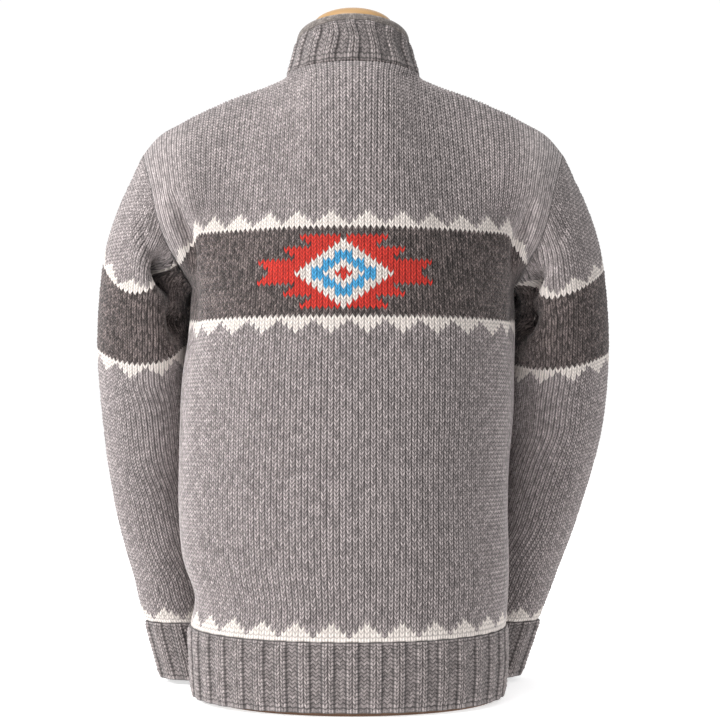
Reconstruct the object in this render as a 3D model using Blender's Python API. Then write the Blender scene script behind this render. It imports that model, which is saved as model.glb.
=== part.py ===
"""A knitted pullover on a dress form, in metres, +Z up, with the form's base on z = 0.

The garment's front faces -Y and its back faces +Y, so +X is the wearer's left. Every piece of cloth
is a wall lofted through sections: its outer points come from the tables of sizes below, its inner
points lie one wall thickness behind them, and ribs are raised in the outer points alone.
"""

import bpy
import numpy as np


def table(names, *rows):
    """Named columns of a short table, one row for each section."""
    return dict(zip(names.split(), np.array(rows, float).T))


# Cloth
WALL = 0.0032
SEAM_GAP = 0.0003
RIB_RAISE = 0.0026
HEM_RIBS_A_PANEL = 21
CUFF_RIBS = 10
COLLAR_RIBS = 18
# Where a rib's ridge and trough have their points, in shares of a rib
RIB_POINTS = (0.19, 0.31, 0.69, 0.81)
SECTION_ROUNDNESS = 2.2

# Levels up the body
HEM_BOTTOM = 0.0045
HEM_SEAM_AT_SIDES = 0.078
HEM_SEAM_SAG = 0.004
HEM_SEAM_SAG_REACH = 0.12
WEB_START = 0.375
YOKE_START = 0.430
YOKE_LEVEL = 0.510
SIDEWAYS_REACH = 0.45
UPWARDS_REACH = 0.74
SIDE_SEAM_Y = -0.005
# How the yoke narrows to the shoulders, and how full its shoulder blades are
YOKE_NARROWING = 1.2
YOKE_FULLNESS = 1.8

# The body from hem to armholes: half widths to the wearer's left and right, depths from the side seams
TRUNK = table(
    "height left right back front",
    (0.0045, 0.171, 0.161, 0.142, 0.126),
    (0.040, 0.173, 0.164, 0.144, 0.127),
    (0.075, 0.174, 0.164, 0.144, 0.128),
    (0.108, 0.169, 0.166, 0.144, 0.128),
    (0.150, 0.182, 0.167, 0.146, 0.130),
    (0.200, 0.187, 0.166, 0.147, 0.131),
    (0.260, 0.186, 0.167, 0.146, 0.132),
    (0.300, 0.184, 0.170, 0.145, 0.132),
    (0.345, 0.181, 0.172, 0.144, 0.132),
    (0.390, 0.175, 0.174, 0.142, 0.133),
    (0.430, 0.170, 0.171, 0.140, 0.133),
)

# The shoulder seam from the neck corner to the shoulder tip, and the neckline's low points
SHOULDER = table(
    "part x y z",
    (0.00, 0.071, 0.000, 0.667),
    (0.05, 0.080, -0.001, 0.663),
    (0.35, 0.130, -0.003, 0.645),
    (0.70, 0.185, -0.005, 0.620),
    (0.88, 0.213, -0.005, 0.603),
    (1.00, 0.229, -0.005, 0.584),
)
NECK_SHARE = 0.376
NECK_BACK = (0.060, 0.673)
NECK_FRONT = (-0.066, 0.640)

# The armhole seam: angle 0 is the shoulder tip, 90 the back, 180 the underarm and 270 the front
ARMHOLE = table(
    "angle x y z",
    (0, 0.229, -0.005, 0.584),
    (30, 0.222, 0.025, 0.566),
    (60, 0.213, 0.047, 0.538),
    (90, 0.206, 0.052, 0.508),
    (120, 0.197, 0.044, 0.482),
    (150, 0.184, 0.022, 0.457),
    (180, 0.174, -0.012, 0.438),
    (210, 0.181, -0.044, 0.453),
    (240, 0.193, -0.062, 0.480),
    (270, 0.200, -0.068, 0.510),
    (300, 0.208, -0.060, 0.541),
    (330, 0.220, -0.036, 0.568),
    (360, 0.229, -0.005, 0.584),
)
# The rows of the two panels that end at the armhole seam, counted by their height at the panel's middle
BACK_ROWS = table(
    "angle row",
    (0, 0.673),
    (30, 0.620),
    (60, 0.577),
    (90, 0.548),
    (120, 0.520),
    (150, 0.482),
    (180, 0.430),
)
FRONT_ROWS = table(
    "angle row",
    (0, 0.640),
    (30, 0.598),
    (60, 0.566),
    (90, 0.540),
    (120, 0.512),
    (150, 0.476),
    (180, 0.430),
)

# The sleeves: outer and inner points of each ring, its middle and half depth, and how far its back dips.
# Both sleeves share the upper rings; below the elbow the right one swings further in and forward.
UPPER_SLEEVE = (
    (0, 0.229, 0.584, 0.174, 0.438, -0.008, 0.058, 0.000),
    (1, 0.242, 0.556, 0.182, 0.430, -0.010, 0.060, 0.004),
    (2, 0.254, 0.531, 0.186, 0.421, -0.013, 0.062, 0.008),
    (3, 0.265, 0.502, 0.184, 0.411, -0.018, 0.064, 0.012),
)
SLEEVE_COLUMNS = "ring outer_x outer_z inner_x inner_z middle_y half_depth dip"
SLEEVE = {
    1: table(
        SLEEVE_COLUMNS,
        *UPPER_SLEEVE,
        (4, 0.273, 0.468, 0.182, 0.398, -0.023, 0.065, 0.016),
        (5, 0.278, 0.430, 0.180, 0.381, -0.030, 0.065, 0.018),
        (6, 0.281, 0.390, 0.180, 0.358, -0.038, 0.064, 0.018),
        (7, 0.281, 0.345, 0.180, 0.328, -0.048, 0.062, 0.016),
        (8, 0.278, 0.297, 0.178, 0.290, -0.062, 0.060, 0.013),
        (9, 0.275, 0.251, 0.180, 0.248, -0.076, 0.057, 0.010),
        (10, 0.269, 0.206, 0.178, 0.205, -0.088, 0.053, 0.008),
        (11, 0.259, 0.161, 0.173, 0.161, -0.095, 0.049, 0.006),
        (12, 0.248, 0.119, 0.166, 0.119, -0.099, 0.045, 0.003),
        (13, 0.241, 0.090, 0.162, 0.090, -0.101, 0.041, 0.001),
        (14, 0.234, 0.070, 0.161, 0.070, -0.102, 0.037, 0.000),
    ),
    -1: table(
        SLEEVE_COLUMNS,
        *UPPER_SLEEVE,
        (4, 0.273, 0.468, 0.180, 0.398, -0.023, 0.065, 0.016),
        (5, 0.278, 0.430, 0.177, 0.381, -0.030, 0.065, 0.018),
        (6, 0.281, 0.390, 0.1745, 0.358, -0.038, 0.064, 0.018),
        (7, 0.281, 0.345, 0.1715, 0.328, -0.048, 0.062, 0.016),
        (8, 0.277, 0.297, 0.1705, 0.290, -0.058, 0.060, 0.013),
        (9, 0.268, 0.251, 0.168, 0.248, -0.068, 0.057, 0.010),
        (10, 0.256, 0.206, 0.162, 0.205, -0.079, 0.053, 0.008),
        (11, 0.242, 0.161, 0.154, 0.161, -0.091, 0.049, 0.006),
        (12, 0.228, 0.119, 0.147, 0.119, -0.102, 0.045, 0.003),
        (13, 0.218, 0.090, 0.141, 0.090, -0.109, 0.041, 0.001),
        (14, 0.211, 0.070, 0.138, 0.070, -0.113, 0.037, 0.000),
    ),
}
# How many rings down the armhole seam's shape fades out of the sleeve
ARMHOLE_FADE = 4
CUFF_TOP = 0.070
CUFF_BOTTOM = 0.006
CUFF_END = {1: (0.182, -0.108), -1: (0.155, -0.124)}
CUFF_HALF = 0.036

# Folds in the body: side, row and place across at the lower end, at the upper end, half width, depth
BODY_FOLDS = (
    (1, 0.452, 0.845, 0.560, 0.880, 0.040, -0.011),
    (-1, 0.452, 0.850, 0.555, 0.895, 0.040, -0.010),
)
# Folds in the sleeves: side, ring, angle, half length in rings, half width in degrees, slant, depth
SLEEVE_FOLDS = (
    (1, 5.2, 118, 1.2, 26, 0.35, 0.010),
    (1, 1.4, 126, 0.9, 17, 0.30, -0.017),
    (1, 3.6, 152, 0.9, 18, 0.25, -0.014),
    (-1, 4.9, 128, 1.1, 26, 0.30, 0.010),
    (-1, 1.4, 130, 0.8, 15, 0.30, -0.013),
    (-1, 3.6, 154, 0.9, 18, 0.20, -0.020),
)

# The collar: half width, front and back of each ring, and their heights
COLLAR = table(
    "part half_width back front side_z back_z front_z",
    (0.0, 0.0712, 0.0602, -0.0662, 0.6678, 0.6738, 0.6408),
    (0.3, 0.0670, 0.0575, -0.0635, 0.6785, 0.6880, 0.6560),
    (0.7, 0.0630, 0.0540, -0.0595, 0.6925, 0.7060, 0.6740),
    (1.0, 0.0605, 0.0515, -0.0570, 0.7010, 0.7190, 0.6830),
)
FACING_HEIGHT_BACK = 0.007
FACING_HEIGHT_SIDE = 0.010
FACING_PROUD = 0.0012
FACING_LEAN = 0.0012
FACING_WALL = 0.004

# The dress form: half width, half depth and how pointed each section's ends are
FORM = table(
    "height half_width half_depth roundness",
    (0.0063, 0.150, 0.126, 2.2),
    (0.060, 0.151, 0.127, 2.2),
    (0.160, 0.150, 0.125, 2.2),
    (0.280, 0.147, 0.122, 2.2),
    (0.380, 0.152, 0.125, 2.2),
    (0.450, 0.155, 0.122, 2.1),
    (0.510, 0.158, 0.112, 1.9),
    (0.555, 0.162, 0.098, 1.7),
    (0.585, 0.158, 0.085, 1.6),
    (0.608, 0.138, 0.073, 1.6),
    (0.628, 0.106, 0.062, 1.7),
    (0.645, 0.074, 0.053, 1.9),
    (0.662, 0.055, 0.046, 2.0),
    (0.690, 0.046, 0.041, 2.0),
)
FORM_MIDDLE_Y = 0.0035
BASE_HALF_WIDTH = 0.153
BASE_HALF_DEPTH = 0.126
BASE_HEIGHT = 0.006
CAP_BOTTOM = 0.6903
CAP_HALF_WIDTH = 0.044
CAP_HALF_DEPTH = 0.039
CAP_RIM_TOP = 0.722
CAP_TOP = 0.742
CAP_DOME_STEPS = (25, 45, 62, 76)
FORM_LEVELS = (
    0.0063, 0.060, 0.115, 0.170, 0.225, 0.280, 0.335, 0.390, 0.445, 0.500,
    0.520, 0.538, 0.556, 0.574, 0.592, 0.610, 0.628, 0.646, 0.664, 0.690,
)

# How finely the walls are faceted
ACROSS_HALF = (0.0, 0.13, 0.26, 0.376, 0.50, 0.61, 0.71, 0.79, 0.85, 0.90, 0.95, 1.0)
SLEEVE_STEP = 18
BODY_LEVELS = 11

GREY = (0.27, 0.25, 0.24)
DARK_GREY = (0.10, 0.09, 0.08)
CREAM = (0.80, 0.76, 0.70)
WOOD = (0.72, 0.45, 0.20)
BROWN = (0.18, 0.10, 0.05)


def read(columns, name, at):
    """A column of a table at any value of the first column, on a smooth curve through its rows."""
    key = next(iter(columns))
    x, y = columns[key], columns[name]
    slope = np.gradient(y, x)
    at = np.clip(at, x[0], x[-1])
    i = np.clip(np.searchsorted(x, at, side="right") - 1, 0, len(x) - 2)
    step = x[i + 1] - x[i]
    t = (at - x[i]) / step
    bend = (t**3 - 2 * t**2 + t) * slope[i] + (t**3 - t**2) * slope[i + 1]
    return y[i] + (3 * t**2 - 2 * t**3) * (y[i + 1] - y[i]) + step * bend


def ease(t):
    """0 to 1 with level ends."""
    t = np.clip(t, 0, 1)
    return t * t * (3 - 2 * t)


def even_quarter(half_width, depth, share):
    """Points of a quarter section at even shares of its length, from its middle to its side."""
    turn = np.linspace(0, np.pi / 2, 65)
    x = half_width * np.sin(turn) ** (2 / SECTION_ROUNDNESS)
    y = depth * np.cos(turn) ** (2 / SECTION_ROUNDNESS)
    run = np.concatenate([[0], np.cumsum(np.hypot(np.diff(x), np.diff(y)))])
    at = share * run[-1]
    return np.interp(at, run, x), np.interp(at, run, y)


def trunk(facing, across, heights):
    """Level sections of the body. across runs from -1 at the right side seam to 1 at the left."""
    grid = np.zeros((len(heights), len(across), 3))
    left = across >= 0
    for i, height in enumerate(heights):
        depth = read(TRUNK, "back" if facing > 0 else "front", height)
        for name, chosen, side in (("left", left, 1), ("right", ~left, -1)):
            x, y = even_quarter(read(TRUNK, name, height), depth, abs(across[chosen]))
            grid[i, chosen, 0] = side * x
            grid[i, chosen, 1] = SIDE_SEAM_Y + facing * y
        grid[i, :, 2] = height
    return grid


def top_edge(facing, across):
    """The shoulder seams and the neckline, where a panel's columns end."""
    side = np.sign(across)
    out = abs(across)
    part = np.clip((out - NECK_SHARE) / (1 - NECK_SHARE), 0, 1)
    seam = [side * read(SHOULDER, "x", part), read(SHOULDER, "y", part), read(SHOULDER, "z", part)]
    points = np.stack(seam, 1)
    depth, height = NECK_BACK if facing > 0 else NECK_FRONT
    corner = SHOULDER["x"][0], SHOULDER["z"][0]
    turn = np.clip(out / NECK_SHARE, 0, 1) * np.pi / 2
    in_neck = out < NECK_SHARE
    points[in_neck, 0] = (side * corner[0] * np.sin(turn))[in_neck]
    points[in_neck, 1] = (depth * np.cos(turn))[in_neck]
    points[in_neck, 2] = (corner[1] + (height - corner[1]) * np.cos(turn))[in_neck]
    return points


def yoke(facing, across, rows):
    """From the armholes' level up over the shoulder blades to the shoulder seams and the neckline."""
    base = trunk(facing, across, [YOKE_START])[0]
    top = top_edge(facing, across)
    last = (NECK_BACK if facing > 0 else NECK_FRONT)[1]
    rows = np.asarray(rows)[:, None]
    stretch = (top[:, 2] - YOKE_LEVEL) / (last - YOKE_LEVEL)
    height = np.minimum(rows, YOKE_LEVEL) + np.maximum(rows - YOKE_LEVEL, 0) * stretch
    rise = np.clip((height - YOKE_START) / (top[:, 2] - YOKE_START), 0, 1)
    x = base[:, 0] + (top[:, 0] - base[:, 0]) * rise**YOKE_NARROWING
    y = top[:, 1] + (base[:, 1] - top[:, 1]) * (1 - rise**YOKE_FULLNESS) ** (1 / YOKE_FULLNESS)
    return np.stack([x, y, height], 2)


def plain_panel(facing, across, rows):
    """A panel before it is drawn out to the armholes."""
    low = rows < YOKE_START
    return np.concatenate([trunk(facing, across, rows[low]), yoke(facing, across, rows[~low])])


def armhole(side, angle):
    angle = np.mod(angle, 360)
    points = np.stack([read(ARMHOLE, name, angle) for name in "xyz"], -1)
    return points * (side, 1, 1)


def row_angle(facing, rows):
    """The angle of the armhole seam at which a panel's rows end."""
    ends = BACK_ROWS if facing > 0 else FRONT_ROWS
    fine = np.linspace(0, 180, 181)
    angle = np.interp(-rows, -read(ends, "row", fine), fine)
    return angle if facing > 0 else 360 - angle


def panel(facing, across, rows):
    """The outer points of the back (facing 1) or the front (facing -1)."""
    grid = plain_panel(facing, across, rows)
    for side in (1, -1):
        plain_edge = plain_panel(facing, np.array([float(side)]), rows)[:, 0]
        armpit_edge = plain_panel(facing, np.array([float(side)]), np.array([YOKE_START]))[0, 0]
        pull = armhole(side, row_angle(facing, rows)) - plain_edge
        pull[rows < YOKE_START] = armhole(side, 180.0) - armpit_edge
        pull *= ease((rows - WEB_START) / (YOKE_START - WEB_START))[:, None]
        sideways = ease((across * side - SIDEWAYS_REACH) / (1 - SIDEWAYS_REACH))
        upwards = ease((across * side - UPWARDS_REACH) / (1 - UPWARDS_REACH))
        reach = np.stack([sideways, sideways, upwards], 1)
        grid += pull[:, None] * reach[None]
    if facing > 0:
        grid += fold_depths(across, rows)[..., None] * normals(grid, facing)
    return grid


def fold_depths(across, rows):
    depth = np.zeros((len(rows), len(across)))
    for side, low, low_at, high, high_at, half, deep in BODY_FOLDS:
        up = (rows - low) / (high - low)
        middle = side * (low_at + (high_at - low_at) * up)
        along = np.sin(np.pi * np.clip(up, 0, 1)) ** 0.7
        beside = (across[None] - middle[:, None]) / half
        depth += deep * along[:, None] * np.exp(-(beside**2))
    return depth


def normals(grid, turn, closed=False):
    """Unit normals of a grid of points, the way round that turn gives."""
    up = np.gradient(grid, axis=0)
    if closed:
        along = (np.roll(grid, -1, axis=1) - np.roll(grid, 1, axis=1)) / 2
    else:
        along = np.gradient(grid, axis=1)
    found = np.cross(up, along) * turn
    return found / np.maximum(np.linalg.norm(found, axis=2, keepdims=True), 1e-9)


def flatten(directions, axis):
    """Directions with one axis taken out, so that two pieces share their seam's plane."""
    directions = directions.copy()
    directions[..., axis] = 0
    return directions / np.linalg.norm(directions, axis=-1, keepdims=True)


def seam_direction(side, angle):
    """Which way the cloth's thickness goes at the armhole seam, for the body and the sleeve alike."""
    point = armhole(side, angle)
    middle = armhole(side, np.arange(0.0, 360.0, 15.0)).mean(axis=0)
    inward = middle - point
    inward /= np.linalg.norm(inward, axis=-1, keepdims=True)
    inward = inward + np.array([-0.8 * side, 0, 0])
    return -inward / np.linalg.norm(inward, axis=-1, keepdims=True)


def pull_in(grid, edge, gap):
    """Moves one edge of a grid back along the cloth, to leave the gap of a seam."""
    first, second = {"low": (0, 1), "high": (-1, -2)}[edge[0]]
    here, there = (grid[first], grid[second]) if edge[1] == 0 else (grid[:, first], grid[:, second])
    step = there - here
    here += gap * step / np.linalg.norm(step, axis=-1, keepdims=True)


def wall_object(name, outer, inner, closed, material):
    """A closed wall between two grids of points."""
    rows, columns = outer.shape[:2]
    points = np.concatenate([outer.reshape(-1, 3), inner.reshape(-1, 3)])
    back = rows * columns
    faces = []
    last = columns if closed else columns - 1
    for j in range(last):
        k = (j + 1) % columns
        for i in range(rows - 1):
            a, b = i * columns + j, i * columns + k
            d, c = a + columns, b + columns
            faces.append((a, b, c, d))
            faces.append((back + d, back + c, back + b, back + a))
        faces.append((j, back + j, back + k, k))
        top = (rows - 1) * columns
        faces.append((top + k, back + top + k, back + top + j, top + j))
    if not closed:
        for i in range(rows - 1):
            a, d = i * columns, (i + 1) * columns
            faces.append((d, back + d, back + a, a))
            b, c = a + columns - 1, d + columns - 1
            faces.append((b, back + b, back + c, c))
    return mesh_object(name, points, faces, material)


def mesh_object(name, points, faces, material):
    """An object of its own from points and faces, with its faces turned outwards."""
    corners = [
        (points[f[0]], points[f[i]], points[f[i + 1]]) for f in faces for i in range(1, len(f) - 1)
    ]
    if sum(np.dot(a, np.cross(b, c)) for a, b, c in corners) < 0:
        faces = [tuple(reversed(f)) for f in faces]
    mesh = bpy.data.meshes.new(name)
    mesh.from_pydata(points.tolist(), [], faces)
    mesh.materials.append(material)
    mesh.shade_smooth()
    thing = bpy.data.objects.new(name, mesh)
    collection.objects.link(thing)
    return thing


def finish(name, color, roughness):
    material = bpy.data.materials.new(name)
    material.use_nodes = True
    shader = material.node_tree.nodes["Principled BSDF"]
    shader.inputs["Base Color"].default_value = (*color, 1)
    shader.inputs["Roughness"].default_value = roughness
    shader.inputs["Metallic"].default_value = 0.0
    return material


def across_columns():
    half = np.array(ACROSS_HALF)
    return np.concatenate([-half[:0:-1], half])


def panel_rows(facing):
    """Rows from the hem seam to the armhole's level, then one for each step round the armhole seam."""
    low = np.linspace(HEM_SEAM_AT_SIDES, YOKE_START, BODY_LEVELS)
    ends = BACK_ROWS if facing > 0 else FRONT_ROWS
    angles = np.arange(180 - SLEEVE_STEP, -1, -SLEEVE_STEP)
    return np.concatenate([low, read(ends, "row", angles)])


def sag(grid, across):
    """Lets the hem seam sag in the middle of each panel, fading out above it and down to the hem."""
    height = grid[..., 2]
    above = 1 - ease((height - HEM_SEAM_AT_SIDES) / HEM_SEAM_SAG_REACH)
    below = ease(height / HEM_SEAM_AT_SIDES)
    grid[..., 2] -= HEM_SEAM_SAG * np.cos(across * np.pi / 2) * above * below


def make_panel(name, facing, material):
    across = across_columns()
    rows = panel_rows(facing)
    outer = panel(facing, across, rows)
    sag(outer, across)
    out = normals(outer, facing)
    out[0] = flatten(out[0], 2)
    yoke_rows = rows >= YOKE_START
    angle = row_angle(facing, rows[yoke_rows])
    for column, side in ((0, -1), (-1, 1)):
        out[~yoke_rows, column] = flatten(out[~yoke_rows, column], 1)
        out[yoke_rows, column] = seam_direction(side, angle)
    on_shoulder = abs(across) >= NECK_SHARE
    on_shoulder[[0, -1]] = False
    out[-1, on_shoulder] = flatten(out[-1, on_shoulder], 1)
    inner = outer - WALL * out
    for grid in (outer, inner):
        for edge in (("low", 0), ("high", 0), ("low", 1), ("high", 1)):
            pull_in(grid, edge, SEAM_GAP)
    return wall_object(name, outer, inner, False, material)


def rib_places(count, ends):
    """Where a rib's points lie, in ribs, and how far each is raised: two on the ridge, two in the trough."""
    places = (np.arange(count)[:, None] + np.array(RIB_POINTS)).reshape(-1)
    raised = np.tile([0.0, 1.0, 1.0, 0.0], count)
    if ends:
        places = np.concatenate([[0], places, [count]])
        raised = np.concatenate([[0], raised, [0]])
    return places, raised


def raised_by(raised, along):
    """The height of the ribs over a grid: across by raised, and by one share for each level."""
    return RIB_RAISE * raised[None, :, None] * np.array(along)[:, None, None]


def make_hem_rib(name, facing, material):
    places, raised = rib_places(HEM_RIBS_A_PANEL, ends=True)
    across = 2 * places / HEM_RIBS_A_PANEL - 1
    heights = np.array([HEM_BOTTOM, 0.012, 0.068, HEM_SEAM_AT_SIDES - SEAM_GAP])
    outer = panel(facing, across, heights)
    out = flatten(normals(outer, facing), 2)
    for column in (0, -1):
        out[:, column] = flatten(out[:, column], 1)
    sag(outer, across)
    inner = outer - WALL * out
    outer += raised_by(raised, (0.6, 1, 1, 0.5)) * out
    for grid in (outer, inner):
        pull_in(grid, ("low", 1), SEAM_GAP)
        pull_in(grid, ("high", 1), SEAM_GAP)
    return wall_object(name, outer, inner, False, material)


def sleeve_rings(side, angles, rings):
    """The outer points of a sleeve. Its first ring is the armhole seam."""
    columns = SLEEVE[side]
    size = {name: read(columns, name, rings)[:, None] for name in columns}
    turn = np.radians(angles)[None]
    middle_x = (size["outer_x"] + size["inner_x"]) / 2
    middle_z = (size["outer_z"] + size["inner_z"]) / 2
    half_x = (size["outer_x"] - size["inner_x"]) / 2
    half_z = (size["outer_z"] - size["inner_z"]) / 2
    x = middle_x + half_x * np.cos(turn)
    y = size["middle_y"] + size["half_depth"] * np.sin(turn)
    z = middle_z + half_z * np.cos(turn) - size["dip"] * np.sin(turn)
    grid = np.stack([x * side, y, z], 2)
    seam = armhole(side, angles) - grid[0]
    fade = 1 - ease(rings / ARMHOLE_FADE)
    grid += seam[None] * fade[:, None, None]
    return grid + sleeve_folds(side, angles, rings)[..., None] * normals(grid, side, closed=True)


def sleeve_folds(side, angles, rings):
    depth = np.zeros((len(rings), len(angles)))
    for on, ring, angle, half_length, half_width, slant, deep in SLEEVE_FOLDS:
        if on != side:
            continue
        up = (rings[:, None] - ring) / half_length
        beside = (np.mod(angles[None] - angle + 180, 360) - 180) / half_width + slant * up
        depth += deep * np.exp(-(up**2) - beside**2)
    return depth * ease(rings / 1.5)[:, None]


def make_sleeve(name, side, material):
    angles = np.arange(0.0, 360.0, SLEEVE_STEP)
    upper, lower = np.arange(1.25, 6.6, 0.66), np.arange(7.0, 13.1)
    rings = np.concatenate([[0, 0.6], upper, lower, [13.5, 14.0]])
    outer = sleeve_rings(side, angles, rings)
    out = normals(outer, side, closed=True)
    out[0] = seam_direction(side, angles)
    out[-1] = flatten(out[-1], 2)
    inner = outer - WALL * out
    for grid in (outer, inner):
        pull_in(grid, ("low", 0), SEAM_GAP)
        pull_in(grid, ("high", 0), SEAM_GAP)
    return wall_object(name, outer, inner, True, material)


def make_cuff(name, side, material):
    places, raised = rib_places(CUFF_RIBS, ends=False)
    turn = 2 * np.pi * places / CUFF_RIBS
    top = {column: SLEEVE[side][column][-1] for column in SLEEVE[side]}
    top_x, top_y = (top["outer_x"] + top["inner_x"]) / 2, top["middle_y"]
    end_x, end_y = CUFF_END[side]
    rings = []
    for part in (0.0, 0.12, 0.88, 1.0):
        x = top_x + (end_x - top_x) * part
        y = top_y + (end_y - top_y) * part
        half = top["half_depth"] + (CUFF_HALF - top["half_depth"]) * ease(part)
        z = np.full(len(turn), CUFF_TOP - SEAM_GAP + (CUFF_BOTTOM - CUFF_TOP) * part)
        rings.append(np.stack([x + half * np.cos(turn), y + half * np.sin(turn), z], 1))
    outer = np.array(rings) * (side, 1, 1)
    out = flatten(normals(outer, side, closed=True), 2)
    inner = outer - WALL * out
    outer = outer + raised_by(raised, (0.5, 1, 1, 0.6)) * out
    return wall_object(name, outer, inner, True, material)


def collar_ring(part, turn):
    """A ring of the collar. turn is 0 at the wearer's left and 90 degrees at the back."""
    depth = np.where(np.sin(turn) >= 0, read(COLLAR, "back", part), -read(COLLAR, "front", part))
    lift = np.where(
        np.sin(turn) >= 0,
        read(COLLAR, "back_z", part) - read(COLLAR, "side_z", part),
        read(COLLAR, "front_z", part) - read(COLLAR, "side_z", part),
    )
    x = read(COLLAR, "half_width", part) * np.cos(turn)
    y = depth * np.sin(turn)
    z = read(COLLAR, "side_z", part) + lift * abs(np.sin(turn))
    return np.stack([x, y, z], -1)


def make_collar(name, material):
    places, raised = rib_places(COLLAR_RIBS, ends=False)
    turn = 2 * np.pi * places / COLLAR_RIBS
    outer = np.array([collar_ring(part, turn) for part in (0.0, 0.15, 0.55, 1.0)])
    out = flatten(normals(outer, -1, closed=True), 2)
    inner = outer - WALL * out
    outer = outer + raised_by(raised, (0.5, 1, 1, 0.6)) * out
    return wall_object(name, outer, inner, True, material)


def make_facing(name, material):
    """The smooth strip on the collar's top edge, a little proud of the collar."""
    turn = np.radians(np.arange(0.0, 360.0, 10.0))
    low = collar_ring(1.0, turn)
    low[:, 2] += SEAM_GAP
    towards_back = np.clip(np.sin(turn), 0, 1)
    height = FACING_HEIGHT_SIDE + (FACING_HEIGHT_BACK - FACING_HEIGHT_SIDE) * towards_back
    rings = []
    for part, proud in ((0.0, 0.4), (0.25, 1.0), (0.7, 1.0), (1.0, 0.2)):
        ring = low.copy()
        ring[:, 2] += height * part
        ring[:, :2] *= 1 + (FACING_PROUD * proud - FACING_LEAN * part) / COLLAR["half_width"][-1]
        rings.append(ring)
    outer = np.array(rings)
    out = flatten(normals(outer, -1, closed=True), 2)
    inner = outer - FACING_WALL * out
    return wall_object(name, outer, inner, True, material)


def solid_rings(name, rings, material):
    """A closed solid lofted through rings, with flat ends."""
    rows, columns = rings.shape[:2]
    points = rings.reshape(-1, 3)
    faces = []
    for start in range(0, (rows - 1) * columns, columns):
        for j in range(columns):
            a, b = start + j, start + (j + 1) % columns
            faces.append((a, b, b + columns, a + columns))
    faces.append(tuple(reversed(range(columns))))
    faces.append(tuple((rows - 1) * columns + j for j in range(columns)))
    return mesh_object(name, points, faces, material)


def oval(half_width, half_depth, roundness, height, count=32):
    turn = np.linspace(0, 2 * np.pi, count, endpoint=False)
    x = half_width * np.sign(np.cos(turn)) * abs(np.cos(turn)) ** (2 / roundness)
    y = half_depth * np.sign(np.sin(turn)) * abs(np.sin(turn)) ** (2 / roundness)
    return np.stack([x, FORM_MIDDLE_Y + y, np.full(count, height)], 1)


def make_form(material):
    rings = []
    for height in FORM_LEVELS:
        sizes = [read(FORM, column, height) for column in ("half_width", "half_depth", "roundness")]
        rings.append(oval(*sizes, height))
    return solid_rings("dress_form", np.array(rings), material)


def make_base(material):
    edge = 0.0015
    rings = [
        oval(BASE_HALF_WIDTH - edge, BASE_HALF_DEPTH - edge, 2.2, 0.0),
        oval(BASE_HALF_WIDTH, BASE_HALF_DEPTH, 2.2, edge),
        oval(BASE_HALF_WIDTH, BASE_HALF_DEPTH, 2.2, BASE_HEIGHT),
    ]
    return solid_rings("form_base", np.array(rings), material)


def make_cap(material):
    rings = [oval(CAP_HALF_WIDTH, CAP_HALF_DEPTH, 2.0, z) for z in (CAP_BOTTOM, CAP_RIM_TOP)]
    for lean in CAP_DOME_STEPS:
        out, up = np.cos(np.radians(lean)), np.sin(np.radians(lean))
        height = CAP_RIM_TOP + (CAP_TOP - CAP_RIM_TOP) * up
        rings.append(oval(CAP_HALF_WIDTH * out, CAP_HALF_DEPTH * out, 2.0, height))
    return solid_rings("form_cap", np.array(rings), material)


for old in list(bpy.data.objects):
    bpy.data.objects.remove(old)
collection = bpy.data.collections.new("sweater_on_form")
bpy.context.scene.collection.children.link(collection)

knit = finish("grey_knit", GREY, 0.95)
rib = finish("grey_rib", GREY, 0.95)
tape = finish("facing_knit", DARK_GREY, 0.95)
cover = finish("form_cover", CREAM, 0.8)
wood = finish("cap_wood", WOOD, 0.4)
board = finish("base_wood", BROWN, 0.6)

make_panel("back", 1, knit)
make_panel("front", -1, knit)
make_hem_rib("hem_rib_back", 1, rib)
make_hem_rib("hem_rib_front", -1, rib)
for word, way in (("left", 1), ("right", -1)):
    make_sleeve(f"sleeve_{word}", way, knit)
    make_cuff(f"cuff_{word}", way, rib)
make_collar("collar", rib)
make_facing("collar_facing", tape)
make_form(cover)
make_base(board)
make_cap(wood)
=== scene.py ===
# %% [markdown]
# A heavy knitted pullover on a limbless dress form, seen from behind. The imported solids give each
# piece its true size and place. This lesson covers them with finer cloth: every stitch of the
# knitting is raised in the mesh, creases are placed one by one, and the yarn comes from the shaders.
# The frame is loaded first, because every later piece is fitted to it.

import bpy
import numpy as np
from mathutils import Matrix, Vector


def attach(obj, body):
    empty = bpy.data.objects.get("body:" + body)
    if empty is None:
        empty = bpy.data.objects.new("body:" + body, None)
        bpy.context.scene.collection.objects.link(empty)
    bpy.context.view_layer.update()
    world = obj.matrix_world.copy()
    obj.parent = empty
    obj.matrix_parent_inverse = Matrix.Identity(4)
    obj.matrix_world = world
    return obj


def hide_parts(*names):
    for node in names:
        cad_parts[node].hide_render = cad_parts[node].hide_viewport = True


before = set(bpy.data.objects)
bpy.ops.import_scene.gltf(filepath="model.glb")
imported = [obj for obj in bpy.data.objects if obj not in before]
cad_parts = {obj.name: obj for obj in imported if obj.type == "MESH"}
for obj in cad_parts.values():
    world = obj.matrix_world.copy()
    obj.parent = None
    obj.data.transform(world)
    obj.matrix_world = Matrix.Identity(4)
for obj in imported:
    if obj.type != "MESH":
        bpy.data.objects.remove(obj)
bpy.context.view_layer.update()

# %% [markdown]
# The cloth needs the same sizes as the solids. They are repeated here as short tables, so that this
# file stands alone. X runs to the wearer's left, Y to the garment's back and Z up, in metres.


# %% Sizes of the garment
def table(names, *rows):
    """Named columns of a short table, one row for each section."""
    return dict(zip(names.split(), np.array(rows, float).T))


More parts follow.
